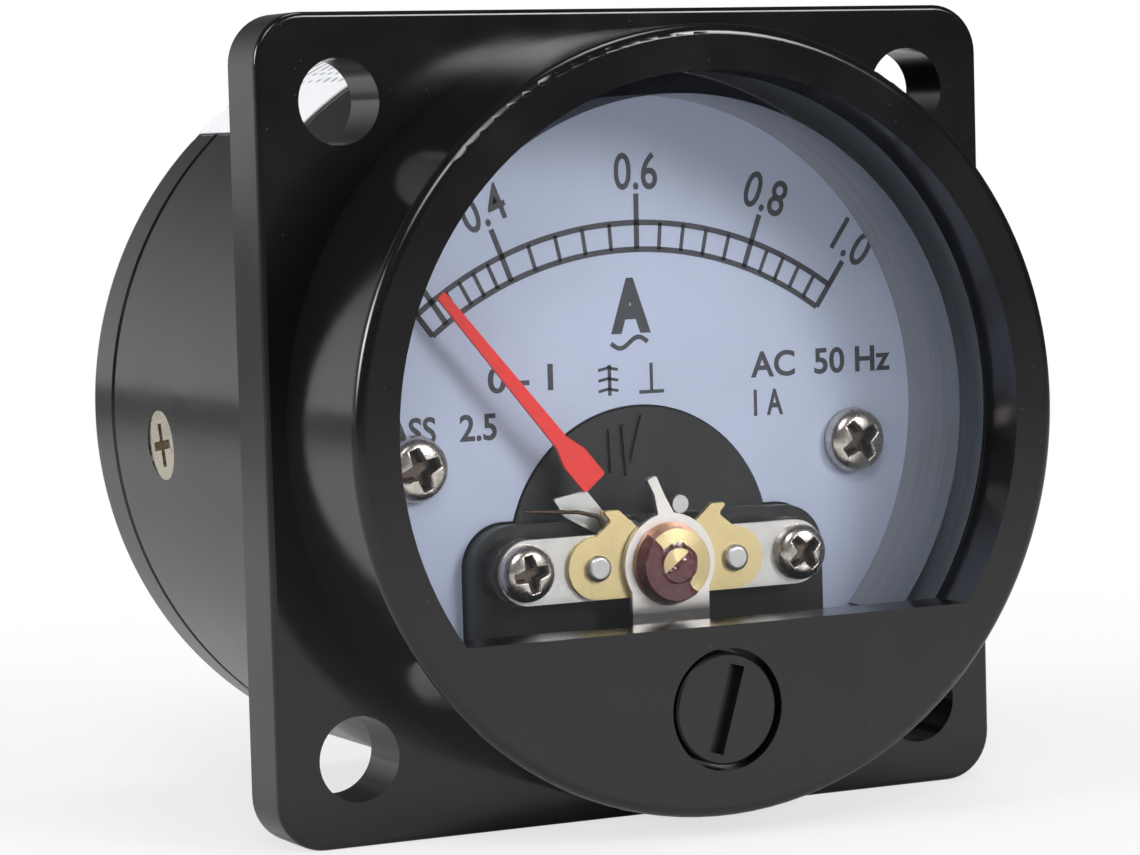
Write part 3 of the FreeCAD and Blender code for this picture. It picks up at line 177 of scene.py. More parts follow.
# Finishes
class Finish:
    """One material: a Principled surface and the patterns that drive it, laid out in millimetres."""

    def __init__(self, name, base, roughness, metallic=0.0):
        self.material = bpy.data.materials.new(name)
        self.material.use_nodes = True
        self.tree = self.material.node_tree
        self.surface = self.tree.nodes["Principled BSDF"]
        self.base = (*base, 1.0)
        self.put("Base Color", self.base)
        self.put("Roughness", roughness)
        self.put("Metallic", metallic)
        here = self.add("ShaderNodeTexCoord").outputs["Object"]
        in_mm = self.add("ShaderNodeVectorMath", {0: here, 1: (1 / MM,) * 3}, operation="MULTIPLY")
        self.place = in_mm.outputs[0]

    def add(self, kind, sockets=None, **settings):
        node = self.tree.nodes.new(kind)
        for key, value in settings.items():
            setattr(node, key, value)
        for key, value in (sockets or {}).items():
            self.feed(node.inputs[key], value)
        return node

    def feed(self, socket, value):
        if isinstance(value, bpy.types.NodeSocket):
            self.tree.links.new(value, socket)
        else:
            socket.default_value = value

    def put(self, name, value):
        self.feed(self.surface.inputs[name], value)

    def calc(self, operation, first, second=0.0):
        return self.add("ShaderNodeMath", {0: first, 1: second}, operation=operation).outputs[0]

    def span(self, value, low, high, to_low=0.0, to_high=1.0):
        return self.add("ShaderNodeMapRange", {"Value": value, "From Min": low, "From Max": high,
                                               "To Min": to_low, "To Max": to_high}).outputs["Result"]

    def noise(self, scale, detail=3.0, stretch=(1.0, 1.0, 1.0)):
        where = self.add("ShaderNodeVectorMath", {0: self.place, 1: stretch}, operation="MULTIPLY").outputs[0]
        clouds = self.add("ShaderNodeTexNoise", {"Vector": where, "Scale": scale, "Detail": detail})
        return clouds.outputs["Fac"]

    def specks(self, scale, size):
        """One on small scattered specks of dust, zero elsewhere."""
        near = self.add("ShaderNodeTexVoronoi", {"Vector": self.place, "Scale": scale}).outputs["Distance"]
        dots = self.span(near, size, size * 0.5)
        return self.calc("MULTIPLY", dots, self.span(self.noise(scale * 0.4), 0.52, 0.6))

    def blend(self, factor, first, second):
        mix = self.add("ShaderNodeMix", {0: factor, 6: first, 7: second}, data_type="RGBA")
        return mix.outputs[2]

    def axis(self, name):
        return self.add("ShaderNodeSeparateXYZ", {0: self.place}).outputs[name]

    def radius_from(self, centre, both_sides=False):
        """Distance in the XZ plane from a point in millimetres; both_sides folds -X over +X."""
        x = self.calc("ABSOLUTE", self.axis("X")) if both_sides else self.axis("X")
        across = self.calc("SUBTRACT", x, centre[0])
        upward = self.calc("SUBTRACT", self.axis("Z"), centre[2])
        flat = self.add("ShaderNodeCombineXYZ", {0: across, 1: upward}).outputs[0]
        return self.add("ShaderNodeVectorMath", {0: flat}, operation="LENGTH").outputs["Value"]

    def radius_from_axis(self):
        """Distance from the vertical through the origin, in millimetres."""
        flat = self.add("ShaderNodeVectorMath", {0: self.place, 1: (1.0, 1.0, 0.0)}, operation="MULTIPLY")
        return self.add("ShaderNodeVectorMath", {0: flat.outputs[0]}, operation="LENGTH").outputs["Value"]

    def emboss(self, height, depth_mm):
        """Raise the surface by a pattern; several patterns add up."""
        before = self.surface.inputs["Normal"].links
        sockets = {"Height": height, "Distance": depth_mm * MM, "Strength": 1.0}
        if before:
            sockets["Normal"] = before[0].from_socket
        self.put("Normal", self.add("ShaderNodeBump", sockets).outputs["Normal"])


def black_moulding(name, base, roughness, dust=0.35):
    """Glossy black plastic with a faint flow of the mould, fine scratches and a little dust."""
    finish = Finish(name, base, roughness)
    flow = finish.noise(0.22, 2.0)
    grain = finish.noise(9.0, 4.0)
    scratch = finish.span(finish.noise(1.6, 2.0, (0.35, 9.0, 9.0)), 0.66, 0.72)
    specks = finish.calc("MULTIPLY", finish.specks(1.7, 0.07), dust)
    worn = finish.calc("ADD", finish.span(flow, 0.3, 0.7, roughness * 0.8, roughness * 1.2),
                       finish.calc("MULTIPLY", scratch, 0.07))
    finish.put("Roughness", finish.calc("ADD", worn, finish.calc("MULTIPLY", specks, 0.5)))
    finish.put("Base Color", finish.blend(specks, finish.base, (0.22, 0.22, 0.23, 1.0)))
    finish.emboss(flow, 0.012)
    finish.emboss(grain, 0.0006)
    return finish.material


def plated_metal(name, base, roughness, stretch=(1.0, 1.0, 1.0), tarnish=0.25, shade_below=None):
    """Bright plated metal with rolling lines, small pits and a slight tarnish; painted shade darkens it below
    a height.
    """
    finish = Finish(name, base, roughness, 1.0)
    lines = finish.noise(6.0, 5.0, stretch)
    stain = finish.noise(0.8, 4.0)
    pits = finish.specks(3.0, 0.09)
    dull = tuple(channel * 0.55 for channel in base)
    stained = finish.calc("MULTIPLY", finish.span(stain, 0.45, 0.75), tarnish)
    tone = finish.blend(stained, finish.base, (*dull, 1.0))
    # Painted shade: below the height the plate's colour is darkened to a share of itself
    if shade_below is not None:
        low = finish.span(finish.axis("Z"), shade_below, shade_below - LEVER_SHADE_FADE)
        tone = finish.blend(low, tone, tuple(channel * LEVER_SHADE_SHARE for channel in base) + (1.0,))
    finish.put("Base Color", tone)
    rolled = finish.span(lines, 0.3, 0.7, roughness * 0.7, roughness * 1.35)
    finish.put("Roughness", finish.calc("ADD", rolled, finish.calc("MULTIPLY", pits, 0.2)))
    finish.emboss(lines, 0.002)
    finish.emboss(finish.noise(2.0, 2.0), 0.004)
    return finish.material


def dial_paint(colours):
    """Pale satin paint with a fine even grain."""
    finish = Finish("Dial paint", colours.dial, 0.42)
    cloud = finish.noise(0.12, 2.0)
    grain = finish.noise(16.0, 3.0)
    deeper = tuple(channel * 0.93 for channel in colours.dial)
    finish.put("Base Color", finish.blend(finish.span(cloud, 0.35, 0.65), finish.base, (*deeper, 1.0)))
    finish.put("Roughness", finish.span(grain, 0.3, 0.7, 0.36, 0.48))
    finish.emboss(grain, 0.0012)
    return finish.material


def printing_ink(colours):
    """Matt ink, a little thin in places."""
    finish = Finish("Dial ink", colours.ink, 0.5)
    thin = finish.noise(5.0, 4.0)
    worn = finish.span(thin, 0.5, 0.8, 0.0, 0.35)
    finish.put("Base Color", finish.blend(worn, finish.base, (0.12, 0.13, 0.17, 1.0)))
    finish.put("Roughness", finish.span(thin, 0.3, 0.7, 0.42, 0.6))
    return finish.material


def pointer_lacquer(colours):
    """Bright red lacquer with a soft orange peel."""
    finish = Finish("Pointer lacquer", colours.pointer, 0.35)
    peel = finish.noise(3.0, 3.0)
    deeper = finish.span(peel, 0.4, 0.7)
    finish.put("Base Color", finish.blend(deeper, finish.base, (0.72, 0.018, 0.014, 1.0)))
    finish.put("Roughness", finish.span(peel, 0.3, 0.7, 0.28, 0.45))
    finish.put("Coat Weight", 0.3)
    finish.emboss(peel, 0.004)
    return finish.material


def clear_pane(colours):
    """Clear front, and a satin wall behind it with painted shade that grows darker towards the front in soft
    bands.
    """
    finish = Finish("Clear pane", colours.pane, 0.05)
    front, back = (corner.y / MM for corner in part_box("window_pane"))
    depth = finish.axis("Y")
    inside = finish.span(finish.radius_from((0.0, 0.0, 0.0)), PANE_WALL_RADIUS - 0.2, PANE_WALL_RADIUS - 0.05)
    behind = finish.span(depth, front + PANE_THICKNESS + 0.05, front + PANE_THICKNESS + 0.1)
    wall = finish.calc("MULTIPLY", inside, behind)
    # Painted shade: the wall's colour darkens towards the front in uneven soft bands
    shade_streaks = finish.span(finish.noise(0.9, 2.0, (0.12, 3.0, 0.12)), 0.3, 0.7, -0.6, 0.6)
    shade = finish.span(finish.calc("ADD", depth, shade_streaks), front + 1.5, back - 0.5)
    dark = tuple(channel * share for channel, share in zip(colours.pane, (0.42, 0.46, 0.5)))
    tone = finish.blend(shade, (*dark, 1.0), finish.base)
    finish.put("Base Color", finish.blend(wall, (0.75, 0.8, 0.85, 1.0), tone))
    finish.put("Alpha", finish.blend(wall, (0.012,) * 3 + (1.0,), (0.88,) * 3 + (1.0,)))
    finish.put("Roughness", finish.span(wall, 0.0, 1.0, 0.03, 0.35))
    return finish.material


def lock_nut_metal(colours):
    """Turned brass face with a rose taper and fine rings from the lathe."""
    finish = Finish("Turned nut", colours.brass, 0.22, 1.0)
    radius = finish.radius_from(SPINDLE / MM)
    rim = finish.span(radius, NUT_FACE_RADIUS - 0.06, NUT_FACE_RADIUS + 0.02)
    rings = finish.calc("SINE", finish.calc("MULTIPLY", radius, 70.0))
    finish.put("Base Color", finish.blend(rim, finish.base, (*colours.copper, 1.0)))
    finish.put("Roughness", finish.span(finish.noise(4.0, 4.0), 0.3, 0.7, 0.3, 0.46))
    finish.emboss(rings, 0.003)
    return finish.material


def recessed_metal(name, base, roughness, low, high):
    """Plated screw with painted shade in its deep cross recess and random stains; low and high box the
    right-hand screw.
    """
    finish = Finish(name, base, roughness, 1.0)
    centre = (low + high) / 2
    radius = (high.x - low.x) / 2
    # Painted shade: the cross recess, found by its radius and depth, is painted dark brown; random stains get
    # the same brown
    within = finish.span(finish.radius_from(centre, both_sides=True), radius * 0.76, radius * 0.68)
    sunk = finish.span(finish.axis("Y"), low.y + 0.18, low.y + 0.5)
    stain = finish.span(finish.noise(1.6, 4.0), 0.42, 0.7, 0.0, 0.35)
    recess_shade_and_stain = finish.calc("MAXIMUM", finish.calc("MULTIPLY", within, sunk), stain)
    shade_and_stain_brown = tuple(channel * share for channel, share in zip(base, (0.2, 0.17, 0.15)))
    finish.put("Base Color", finish.blend(recess_shade_and_stain, finish.base, (*shade_and_stain_brown, 1.0)))
    finish.put("Roughness", finish.span(recess_shade_and_stain, 0.0, 1.0, roughness, 0.5))
    finish.emboss(finish.noise(2.2, 3.0), 0.012)
    return finish.material


def sealing_lacquer(colours):
    """Glossy dark red lacquer, thin enough at its edge to show the metal."""
    finish = Finish("Sealing lacquer", colours.lacquer, 0.2)
    cloud = finish.noise(2.5, 3.0)
    thinner = finish.span(cloud, 0.35, 0.7)
    finish.put("Base Color", finish.blend(thinner, finish.base, (0.12, 0.014, 0.02, 1.0)))
    finish.put("Roughness", finish.span(cloud, 0.3, 0.7, 0.15, 0.3))
    finish.put("Coat Weight", 0.6)
    return finish.material


def enamelled_winding():
    """Turns of enamelled copper wire, laid side by side, with painted shade in the grooves between them."""
    finish = Finish("Enamelled winding", (0.42, 0.13, 0.05), 0.25, 0.6)
    turns = finish.calc("SINE", finish.calc("MULTIPLY", finish.axis("Y"), math.tau / 0.35))
    crest = finish.span(turns, -1.0, 0.2)
    # Painted shade: the grooves between the turns are painted dark
    finish.put("Base Color", finish.blend(crest, (0.10, 0.025, 0.01, 1.0), finish.base))
    finish.put("Roughness", finish.span(finish.noise(3.0), 0.3, 0.7, 0.18, 0.34))
    finish.emboss(turns, 0.09)
    return finish.material


def matt_plastic(name, base, roughness=0.55):
    """Plain moulded plastic with a fine spark grain."""
    finish = Finish(name, base, roughness)
    grain = finish.noise(7.0, 4.0)
    finish.put("Roughness", finish.span(grain, 0.3, 0.7, roughness * 0.85, roughness * 1.15))
    finish.emboss(grain, 0.006)
    return finish.material


def label_paper(colours):
    """White paper with faint rows of short dashes and a slight fibre."""
    finish = Finish("Label paper", colours.label, 0.6)
    fibre = finish.noise(5.0, 5.0, (1.0, 0.4, 1.0))
    rows = finish.calc("SINE", finish.calc("MULTIPLY", finish.axis("Y"), math.tau / 1.15))
    words = finish.noise(2.6, 2.0, (1.0, 0.05, 0.35))
    printed = finish.span(finish.axis("X"), LABEL_PRINT_START, LABEL_PRINT_START + 0.2)
    dashes = finish.calc("MULTIPLY", finish.span(rows, 0.25, 0.4), finish.span(words, 0.47, 0.52))
    dashes = finish.calc("MULTIPLY", dashes, printed)
    finish.put("Base Color", finish.blend(dashes, finish.base, (0.35, 0.35, 0.37, 1.0)))
    finish.put("Roughness", finish.span(fibre, 0.3, 0.7, 0.5, 0.7))
    finish.emboss(fibre, 0.003)
    return finish.material


def dress(material, *nodes):
    """Give CAD nodes their finish."""
    for name in nodes:
        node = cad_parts[name]
        if not node.material_slots:
            node.data.materials.append(material)
        for slot in node.material_slots:
            slot.material = material


# Mesh work, in millimetres
def make_piece(name, mesh_work, material, body, smooth=False):
    """Turn finished mesh work into an object that rides on a body."""
    bmesh.ops.recalc_face_normals(mesh_work, faces=mesh_work.faces)
    bmesh.ops.scale(mesh_work, vec=(MM,) * 3, verts=mesh_work.verts)
    mesh = bpy.data.meshes.new(name)
    mesh_work.to_mesh(mesh)
    mesh_work.free()
    mesh.materials.append(material)
    if smooth:
        mesh.shade_smooth()
    piece = bpy.data.objects.new(name, mesh)
    bpy.context.scene.collection.objects.link(piece)
    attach(piece, body)
    return piece


def add_loops(mesh_work, loops):
    """Skin a list of point loops of equal length; the first and the last are capped."""
    rows = [[mesh_work.verts.new(point) for point in loop] for loop in loops]
    count = len(rows[0])
    for below, above in zip(rows, rows[1:]):
        for index in range(count):
            after = (index + 1) % count
            mesh_work.faces.new((below[index], below[after], above[after], above[index]))
    mesh_work.faces.new(list(reversed(rows[0])))
    mesh_work.faces.new(rows[-1])


class Print:
    """Flat printing on the dial face, in millimetres from the meter's axis."""

    def __init__(self, thickness):
        self.work = bmesh.new()
        self.back = DIAL_FACE / MM
        self.thickness = thickness / MM

    def patch(self, corners):
        """Polygon of (x, z) corners."""
        self.work.faces.new([self.work.verts.new((x, self.back, z)) for x, z in corners])

    def arc(self, centre_z, inner, outer, left, right, steps=72):
        """Band between two radii; angles are in degrees, positive to the left of straight up."""
        for step in range(steps):
            first, last = (math.radians(left + (right - left) * (step + i) / steps) for i in (0, 1))
            self.patch([(-radius * math.sin(angle), centre_z + radius * math.cos(angle))
                        for radius, angle in ((inner, first), (outer, first), (outer, last), (inner, last))])

    def ray(self, centre_z, inner, outer, angle, width):
        """Straight line along a radius."""
        turn = math.radians(angle)
        along = Vector((-math.sin(turn), math.cos(turn)))
        across = Vector((math.cos(turn), math.sin(turn))) * width / 2
        centre = Vector((0.0, centre_z))
        near, far = centre + along * inner, centre + along * outer
        self.patch([near - across, near + across, far + across, far - across])

    def stroke(self, points, width):
        """Line of one width through points, with square ends."""
        points = [Vector(point) for point in points]
        sides = []
        for index, point in enumerate(points):
            before = points[max(index - 1, 0)]
            after = points[min(index + 1, len(points) - 1)]
            along = (after - before).normalized()
            across = Vector((-along.y, along.x)) * width / 2
            sides.append((point - across, point + across))
        for (low, high), (next_low, next_high) in zip(sides, sides[1:]):
            self.patch([low, next_low, next_high, high])

    def text(self, words, x, z, height, width, angle=0.0, boldness=0.0):
        """Lettering of an exact height and width, centred on (x, z) and turned by an angle."""
        curve = bpy.data.curves.new("lettering", "FONT")
        curve.body = words
        curve.fill_mode = "FRONT"
        curve.offset = boldness
        curve.resolution_u = 4
        writing = bpy.data.objects.new("lettering", curve)
        bpy.context.scene.collection.objects.link(writing)
        bpy.context.view_layer.update()
        shape = writing.evaluated_get(bpy.context.evaluated_depsgraph_get())
        letters = shape.to_mesh()
        xs = [vertex.co.x for vertex in letters.vertices]
        ys = [vertex.co.y for vertex in letters.vertices]
        middle = Vector(((min(xs) + max(xs)) / 2, (min(ys) + max(ys)) / 2))
        stretch = Vector((width / (max(xs) - min(xs)), height / (max(ys) - min(ys))))
        turn = Matrix.Rotation(math.radians(angle), 2)
        placed = [turn @ ((vertex.co.xy - middle) * stretch) + Vector((x, z)) for vertex in letters.vertices]
        made = [self.work.verts.new((point.x, self.back, point.y)) for point in placed]
        for polygon in letters.polygons:
            self.work.faces.new([made[index] for index in polygon.vertices])
        shape.to_mesh_clear()
        bpy.data.objects.remove(writing)
        bpy.data.curves.remove(curve)

    def finish(self, name, material):
        """Give the printing its thickness and make it ride on the dial."""
        bmesh.ops.remove_doubles(self.work, verts=self.work.verts, dist=1e-4)
        grown = bmesh.ops.extrude_face_region(self.work, geom=list(self.work.faces))
        front = [item for item in grown["geom"] if isinstance(item, bmesh.types.BMVert)]
        bmesh.ops.translate(self.work, vec=(0.0, -self.thickness, 0.0), verts=front)
        return make_piece(name, self.work, material, "root")


def screw_head(mesh_work, centre, turn, radius, height, shank_radius, length):
    """Domed head facing -Y with a tapered cross recess, on a plain shank. All sizes are in millimetres."""
    rings, spokes = 44, 112
    blade, wing, depth = radius * 0.2, radius * 0.66, height * 0.85
    tilt = math.radians(turn)

    def recess(u, v):
        across = (blade * (1.3 - abs(u) / wing * 0.55) - abs(v)) / (blade * 0.4)
        along = (wing - abs(u)) / (wing * 0.22)
        return max(0.0, min(1.0, across, along))

    def ring_at(reach, rise):
        points = []
        for spoke in range(spokes):
            angle = math.tau * spoke / spokes
            u, v = reach * math.cos(angle), reach * math.sin(angle)
            sunk = depth * max(recess(u, v), recess(v, u)) if rise > 0 else 0.0
            x = u * math.cos(tilt) - v * math.sin(tilt)
            z = u * math.sin(tilt) + v * math.cos(tilt)
            points.append(mesh_work.verts.new((centre[0] + x, centre[1] - rise + sunk, centre[2] + z)))
        return points

    rows = []
    for ring in range(1, rings):
        reach = radius * ring / rings
        rows.append(ring_at(reach, height * (1 - (reach / radius) ** 3.2) ** 0.31))
    for reach, rise in ((radius, height * 0.12), (radius, 0.0), (shank_radius, 0.0), (shank_radius, -length)):
        rows.append(ring_at(reach, rise))
    middle = mesh_work.verts.new((centre[0], centre[1] - height + depth, centre[2]))
    for spoke in range(spokes):
        after = (spoke + 1) % spokes
        mesh_work.faces.new((middle, rows[0][spoke], rows[0][after]))
        for below, above in zip(rows, rows[1:]):
            mesh_work.faces.new((below[spoke], above[spoke], above[after], below[after]))
    mesh_work.faces.new(list(reversed(rows[-1])))


def halves_of(node):
    """Boxes, in millimetres, of the left and the right piece of a node that holds two like pieces."""
    points = [vertex.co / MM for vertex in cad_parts[node].data.vertices]
    boxes = []
    for side in (-1, 1):
        mine = [point for point in points if point.x * side > 0]
        boxes.append((Vector(min(point[i] for point in mine) for i in range(3)),
                      Vector(max(point[i] for point in mine) for i in range(3))))
    return boxes


# Operators: one for each piece, or group of like pieces
class METER_OT_mouldings(bpy.types.Operator):
    """Finish the black plastic of the housing, the can, the frame and the zero screw"""
    bl_idname = "meter.mouldings"
    bl_label = "Black mouldings"

    def execute(self, context):
        colours = context.scene.meter_colours
        dress(black_moulding("Housing black", colours.moulding, 0.15), "front_housing")
        dress(black_moulding("Can black", colours.moulding, 0.16), "rear_can", "rear_cover")
        dress(black_moulding("Frame black", colours.inner_moulding, 0.34, 0.6), "movement_frame")
        dress(black_moulding("Zero screw black", colours.inner_moulding, 0.38, 0.1), "zero_screw")
        return {"FINISHED"}


class METER_OT_pane(bpy.types.Operator):
    """Finish the clear pane and its satin wall"""
    bl_idname = "meter.pane"
    bl_label = "Window pane"

    def execute(self, context):
        dress(clear_pane(context.scene.meter_colours), "window_pane")
        return {"FINISHED"}


class METER_OT_dial(bpy.types.Operator):
    """Paint the dial and print its scale, numerals and symbols"""
    bl_idname = "meter.dial"
    bl_label = "Dial and printing"

    def execute(self, context):
        sizes = context.scene.meter_sizes
        colours = context.scene.meter_colours
        dress(dial_paint(colours), "dial_plate")
        ink = printing_ink(colours)
        self.scale(sizes, ink)
        self.numerals(sizes, ink)
        self.symbols(sizes, ink)
        return {"FINISHED"}

    def scale(self, sizes, ink):
        centre = -sizes.scale_centre_drop / MM
        inner, outer = sizes.scale_inner / MM, sizes.scale_outer / MM
        line, fine = sizes.line_width / MM, sizes.fine_width / MM
        marks = Print(sizes.ink_thickness)
        marks.arc(centre, inner - line / 2, inner + line / 2, SCALE_ANGLES[0], SCALE_ANGLES[-1])
        marks.arc(centre, outer - line / 2, outer + line / 2, SCALE_ANGLES[0], SCALE_ANGLES[-1])
        for angle in SCALE_ANGLES:
            marks.ray(centre, inner, sizes.tick_outer / MM, angle, line)
        for start, end in zip(SCALE_ANGLES[1:], SCALE_ANGLES[2:]):
            for step in range(1, MINOR_STEPS):
                marks.ray(centre, inner, outer, start + (end - start) * step / MINOR_STEPS, fine)
        marks.finish("dial_scale", ink)

    def numerals(self, sizes, ink):
        centre = -sizes.scale_centre_drop / MM
        radius, height = sizes.numeral_radius / MM, sizes.numeral_height / MM
        numbers = Print(sizes.ink_thickness)
        for (words, shape, shift), tick in zip(SCALE_NUMERALS, SCALE_ANGLES):
            angle = tick + shift
            turn = math.radians(angle)
            x, z = -radius * math.sin(turn), centre + radius * math.cos(turn)
            numbers.text(words, x, z, height, height * shape, angle, 0.012)
        numbers.finish("dial_numerals", ink)

    def symbols(self, sizes, ink):
        signs = Print(sizes.ink_thickness)
        signs.text("A", -0.28, 6.05, 3.1, 2.5, 0.0, 0.055)
        steps = [step / 10 - 1 for step in range(21)]
        wave = [(-0.4 + 1.15 * t, 3.99 + 0.3 * math.sin(math.pi * t)) for t in steps]
        signs.stroke(wave, 0.26)
        for height in (1.35, 1.94, 2.53):
            signs.stroke([(-2.4, height), (-1.78, height + 0.12), (-1.16, height)], 0.17)
        signs.stroke([(-1.7, 1.1), (-1.7, 2.8)], 0.22)
        signs.stroke([(0.15, 1.2), (1.71, 1.2)], 0.2)
        signs.stroke([(0.93, 1.2), (0.93, 2.8)], 0.2)
        for words, x, z, width in SIDE_WORDS:
            signs.text(words, x, z, WORD_HEIGHT, width, 0.0, 0.022)
        signs.finish("dial_symbols", ink)


class METER_OT_screws(bpy.types.Operator):
    """Replace the small cross-recess screws with finished ones"""
    bl_idname = "meter.screws"
    bl_label = "Cross-recess screws"

    def execute(self, context):
        colours = context.scene.meter_colours
        old_nickel = plated_metal("Side screw", (0.62, 0.57, 0.47), 0.3, tarnish=0.5)
        for node, name, turns, shank in (("dial_screws", "Dial screw", (20, 34), 0.8),
                                         ("bridge_screws", "Bridge screw", (12, 38), 0.7)):
            work = bmesh.new()
            boxes = halves_of(node)
            for (low, high), turn in zip(boxes, turns):
                radius = (high.x - low.x) / 2
                height = SCREW_HEAD_SHARE * radius
                centre = ((low.x + high.x) / 2, low.y + height, (low.z + high.z) / 2)
                screw_head(work, centre, turn, radius, height, shank, high.y - low.y - height)
            nickel = recessed_metal(name, colours.nickel, 0.24, *boxes[1])
            made = make_piece(node + "_finished", work, nickel, "root", smooth=True)
            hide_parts(node)
        dress(old_nickel, "side_screws")
        return {"FINISHED"}


class METER_OT_bridge(bpy.types.Operator):
    """Finish the bridge, its clip, rivets, bearing screw and the sealed lock nut"""
    bl_idname = "meter.bridge"
    bl_label = "Bridge"

    def execute(self, context):
        colours = context.scene.meter_colours
        dress(plated_metal("Bridge plate", colours.plate, 0.42, (0.15, 2.0, 4.0), 0.3),
              "bridge_bar", "rear_strap")
        dress(plated_metal("Clip brass", colours.brass, 0.48, (1.0, 1.0, 1.0), 0.2), "brass_clip")
        dress(plated_metal("Rivet", colours.aluminium, 0.42), "clip_rivets")
        dress(plated_metal("Hairspring bronze", colours.bronze, 0.3), "hairspring")
        dress(plated_metal("Dark wire", (0.07, 0.045, 0.03), 0.4), "stop_wire")
        dress(lock_nut_metal(colours), "lock_nut", "front_jewel_screw")
        self.lacquer(colours)
        return {"FINISHED"}

    def lacquer(self, colours):
        """Film of lacquer over the lower left of the nut and the bearing screw, thin at its uneven edge."""
        nut_low, nut_high = (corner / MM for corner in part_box("lock_nut"))
        boss_low, boss_high = (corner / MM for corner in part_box("front_jewel_screw"))
        boss_radius = (boss_high.x - boss_low.x) / 2
        back_radius = (nut_high.x - nut_low.x) / 2
        slant = (back_radius - NUT_FACE_RADIUS) / NUT_DEPTH
        rings, spokes = 48, 160
        work = bmesh.new()
        rows = []
        for ring in range(rings + 1):
            along = ring / rings * (back_radius + 0.35)
            row = []
            for spoke in range(spokes):
                angle = math.tau * spoke / spokes
                if along <= NUT_FACE_RADIUS:
                    reach = along
                    surface = boss_low.y if along < boss_radius else nut_low.y
                else:
                    fall = (along - NUT_FACE_RADIUS) * 1.1
                    reach = NUT_FACE_RADIUS + fall * slant
                    surface = nut_low.y + fall
                x, z = reach * math.sin(angle), reach * math.cos(angle)
                film = self.film(x, z, along, boss_radius)
                row.append(work.verts.new((SPINDLE.x / MM + x, surface - film, SPINDLE.z / MM + z)))
            rows.append(row)
        for below, above in zip(rows, rows[1:]):
            for spoke in range(spokes):
                after = (spoke + 1) % spokes
                work.faces.new((below[spoke], below[after], above[after], above[spoke]))
        make_piece("sealing_lacquer", work, sealing_lacquer(colours), "root", smooth=True)

    def film(self, x, z, along, boss_radius):
        """Thickness of the lacquer at a point; where there is none it lies below the metal."""
        ragged = (noise.noise(Vector((x * 1.6, z * 1.6, 3.0))) * 0.3
                  + noise.noise(Vector((x * 5, z * 5, 7.0))) * 0.1)
        lower_left = Vector((x, z)).dot(Vector((-0.78, -0.62))) - 0.12
        past_slot = Vector((x, z)).dot(Vector((0.55, -0.83))) + 0.12
        round_boss = 0.16 - abs(along - boss_radius - 0.04) * 1.2
        if along < boss_radius:
            cover = max(past_slot, round_boss)
        else:
            cover = max(min(lower_left, 0.6), round_boss)
        cover += ragged * 0.5
        return max(-0.05, min(cover * 0.25, LACQUER_THICKNESS))


class METER_OT_movement(bpy.types.Operator):
    """Finish the pointer, its carrier, the zero lever and the parts behind the frame"""
    bl_idname = "meter.movement"
    bl_label = "Movement"

    def execute(self, context):
        colours = context.scene.meter_colours
        dress(pointer_lacquer(colours), "pointer")
        dress(plated_metal("Carrier aluminium", colours.aluminium, 0.42, (3.0, 1.0, 0.3)), "pointer_carrier",
              "balance_weights", "damping_vane")
        dress(plated_metal("Lever plate", colours.lever, 0.4, (0.3, 1.0, 3.0), 0.2, LEVER_SHADE_HEIGHT),
              "zero_lever")
        dress(plated_metal("Bright steel", (0.55, 0.55, 0.56), 0.25), "spindle", "moving_iron", "fixed_iron")
        dress(plated_metal("Small brass", colours.brass, 0.25), "hairspring_collet", "iron_arms",
              "frame_pillars", "rear_jewel_screw", "rear_lock_nut")
        dress(plated_metal("Strap screw", colours.nickel, 0.22), "strap_screws")
        dress(matt_plastic("Bobbin plastic", (0.05, 0.05, 0.055)), "coil_bobbin", "damping_chamber",
              "chamber_cover")
        dress(enamelled_winding(), "coil_winding")
        dress(matt_plastic("Lead insulation", (0.35, 0.04, 0.03), 0.45), "coil_leads")
        return {"FINISHED"}


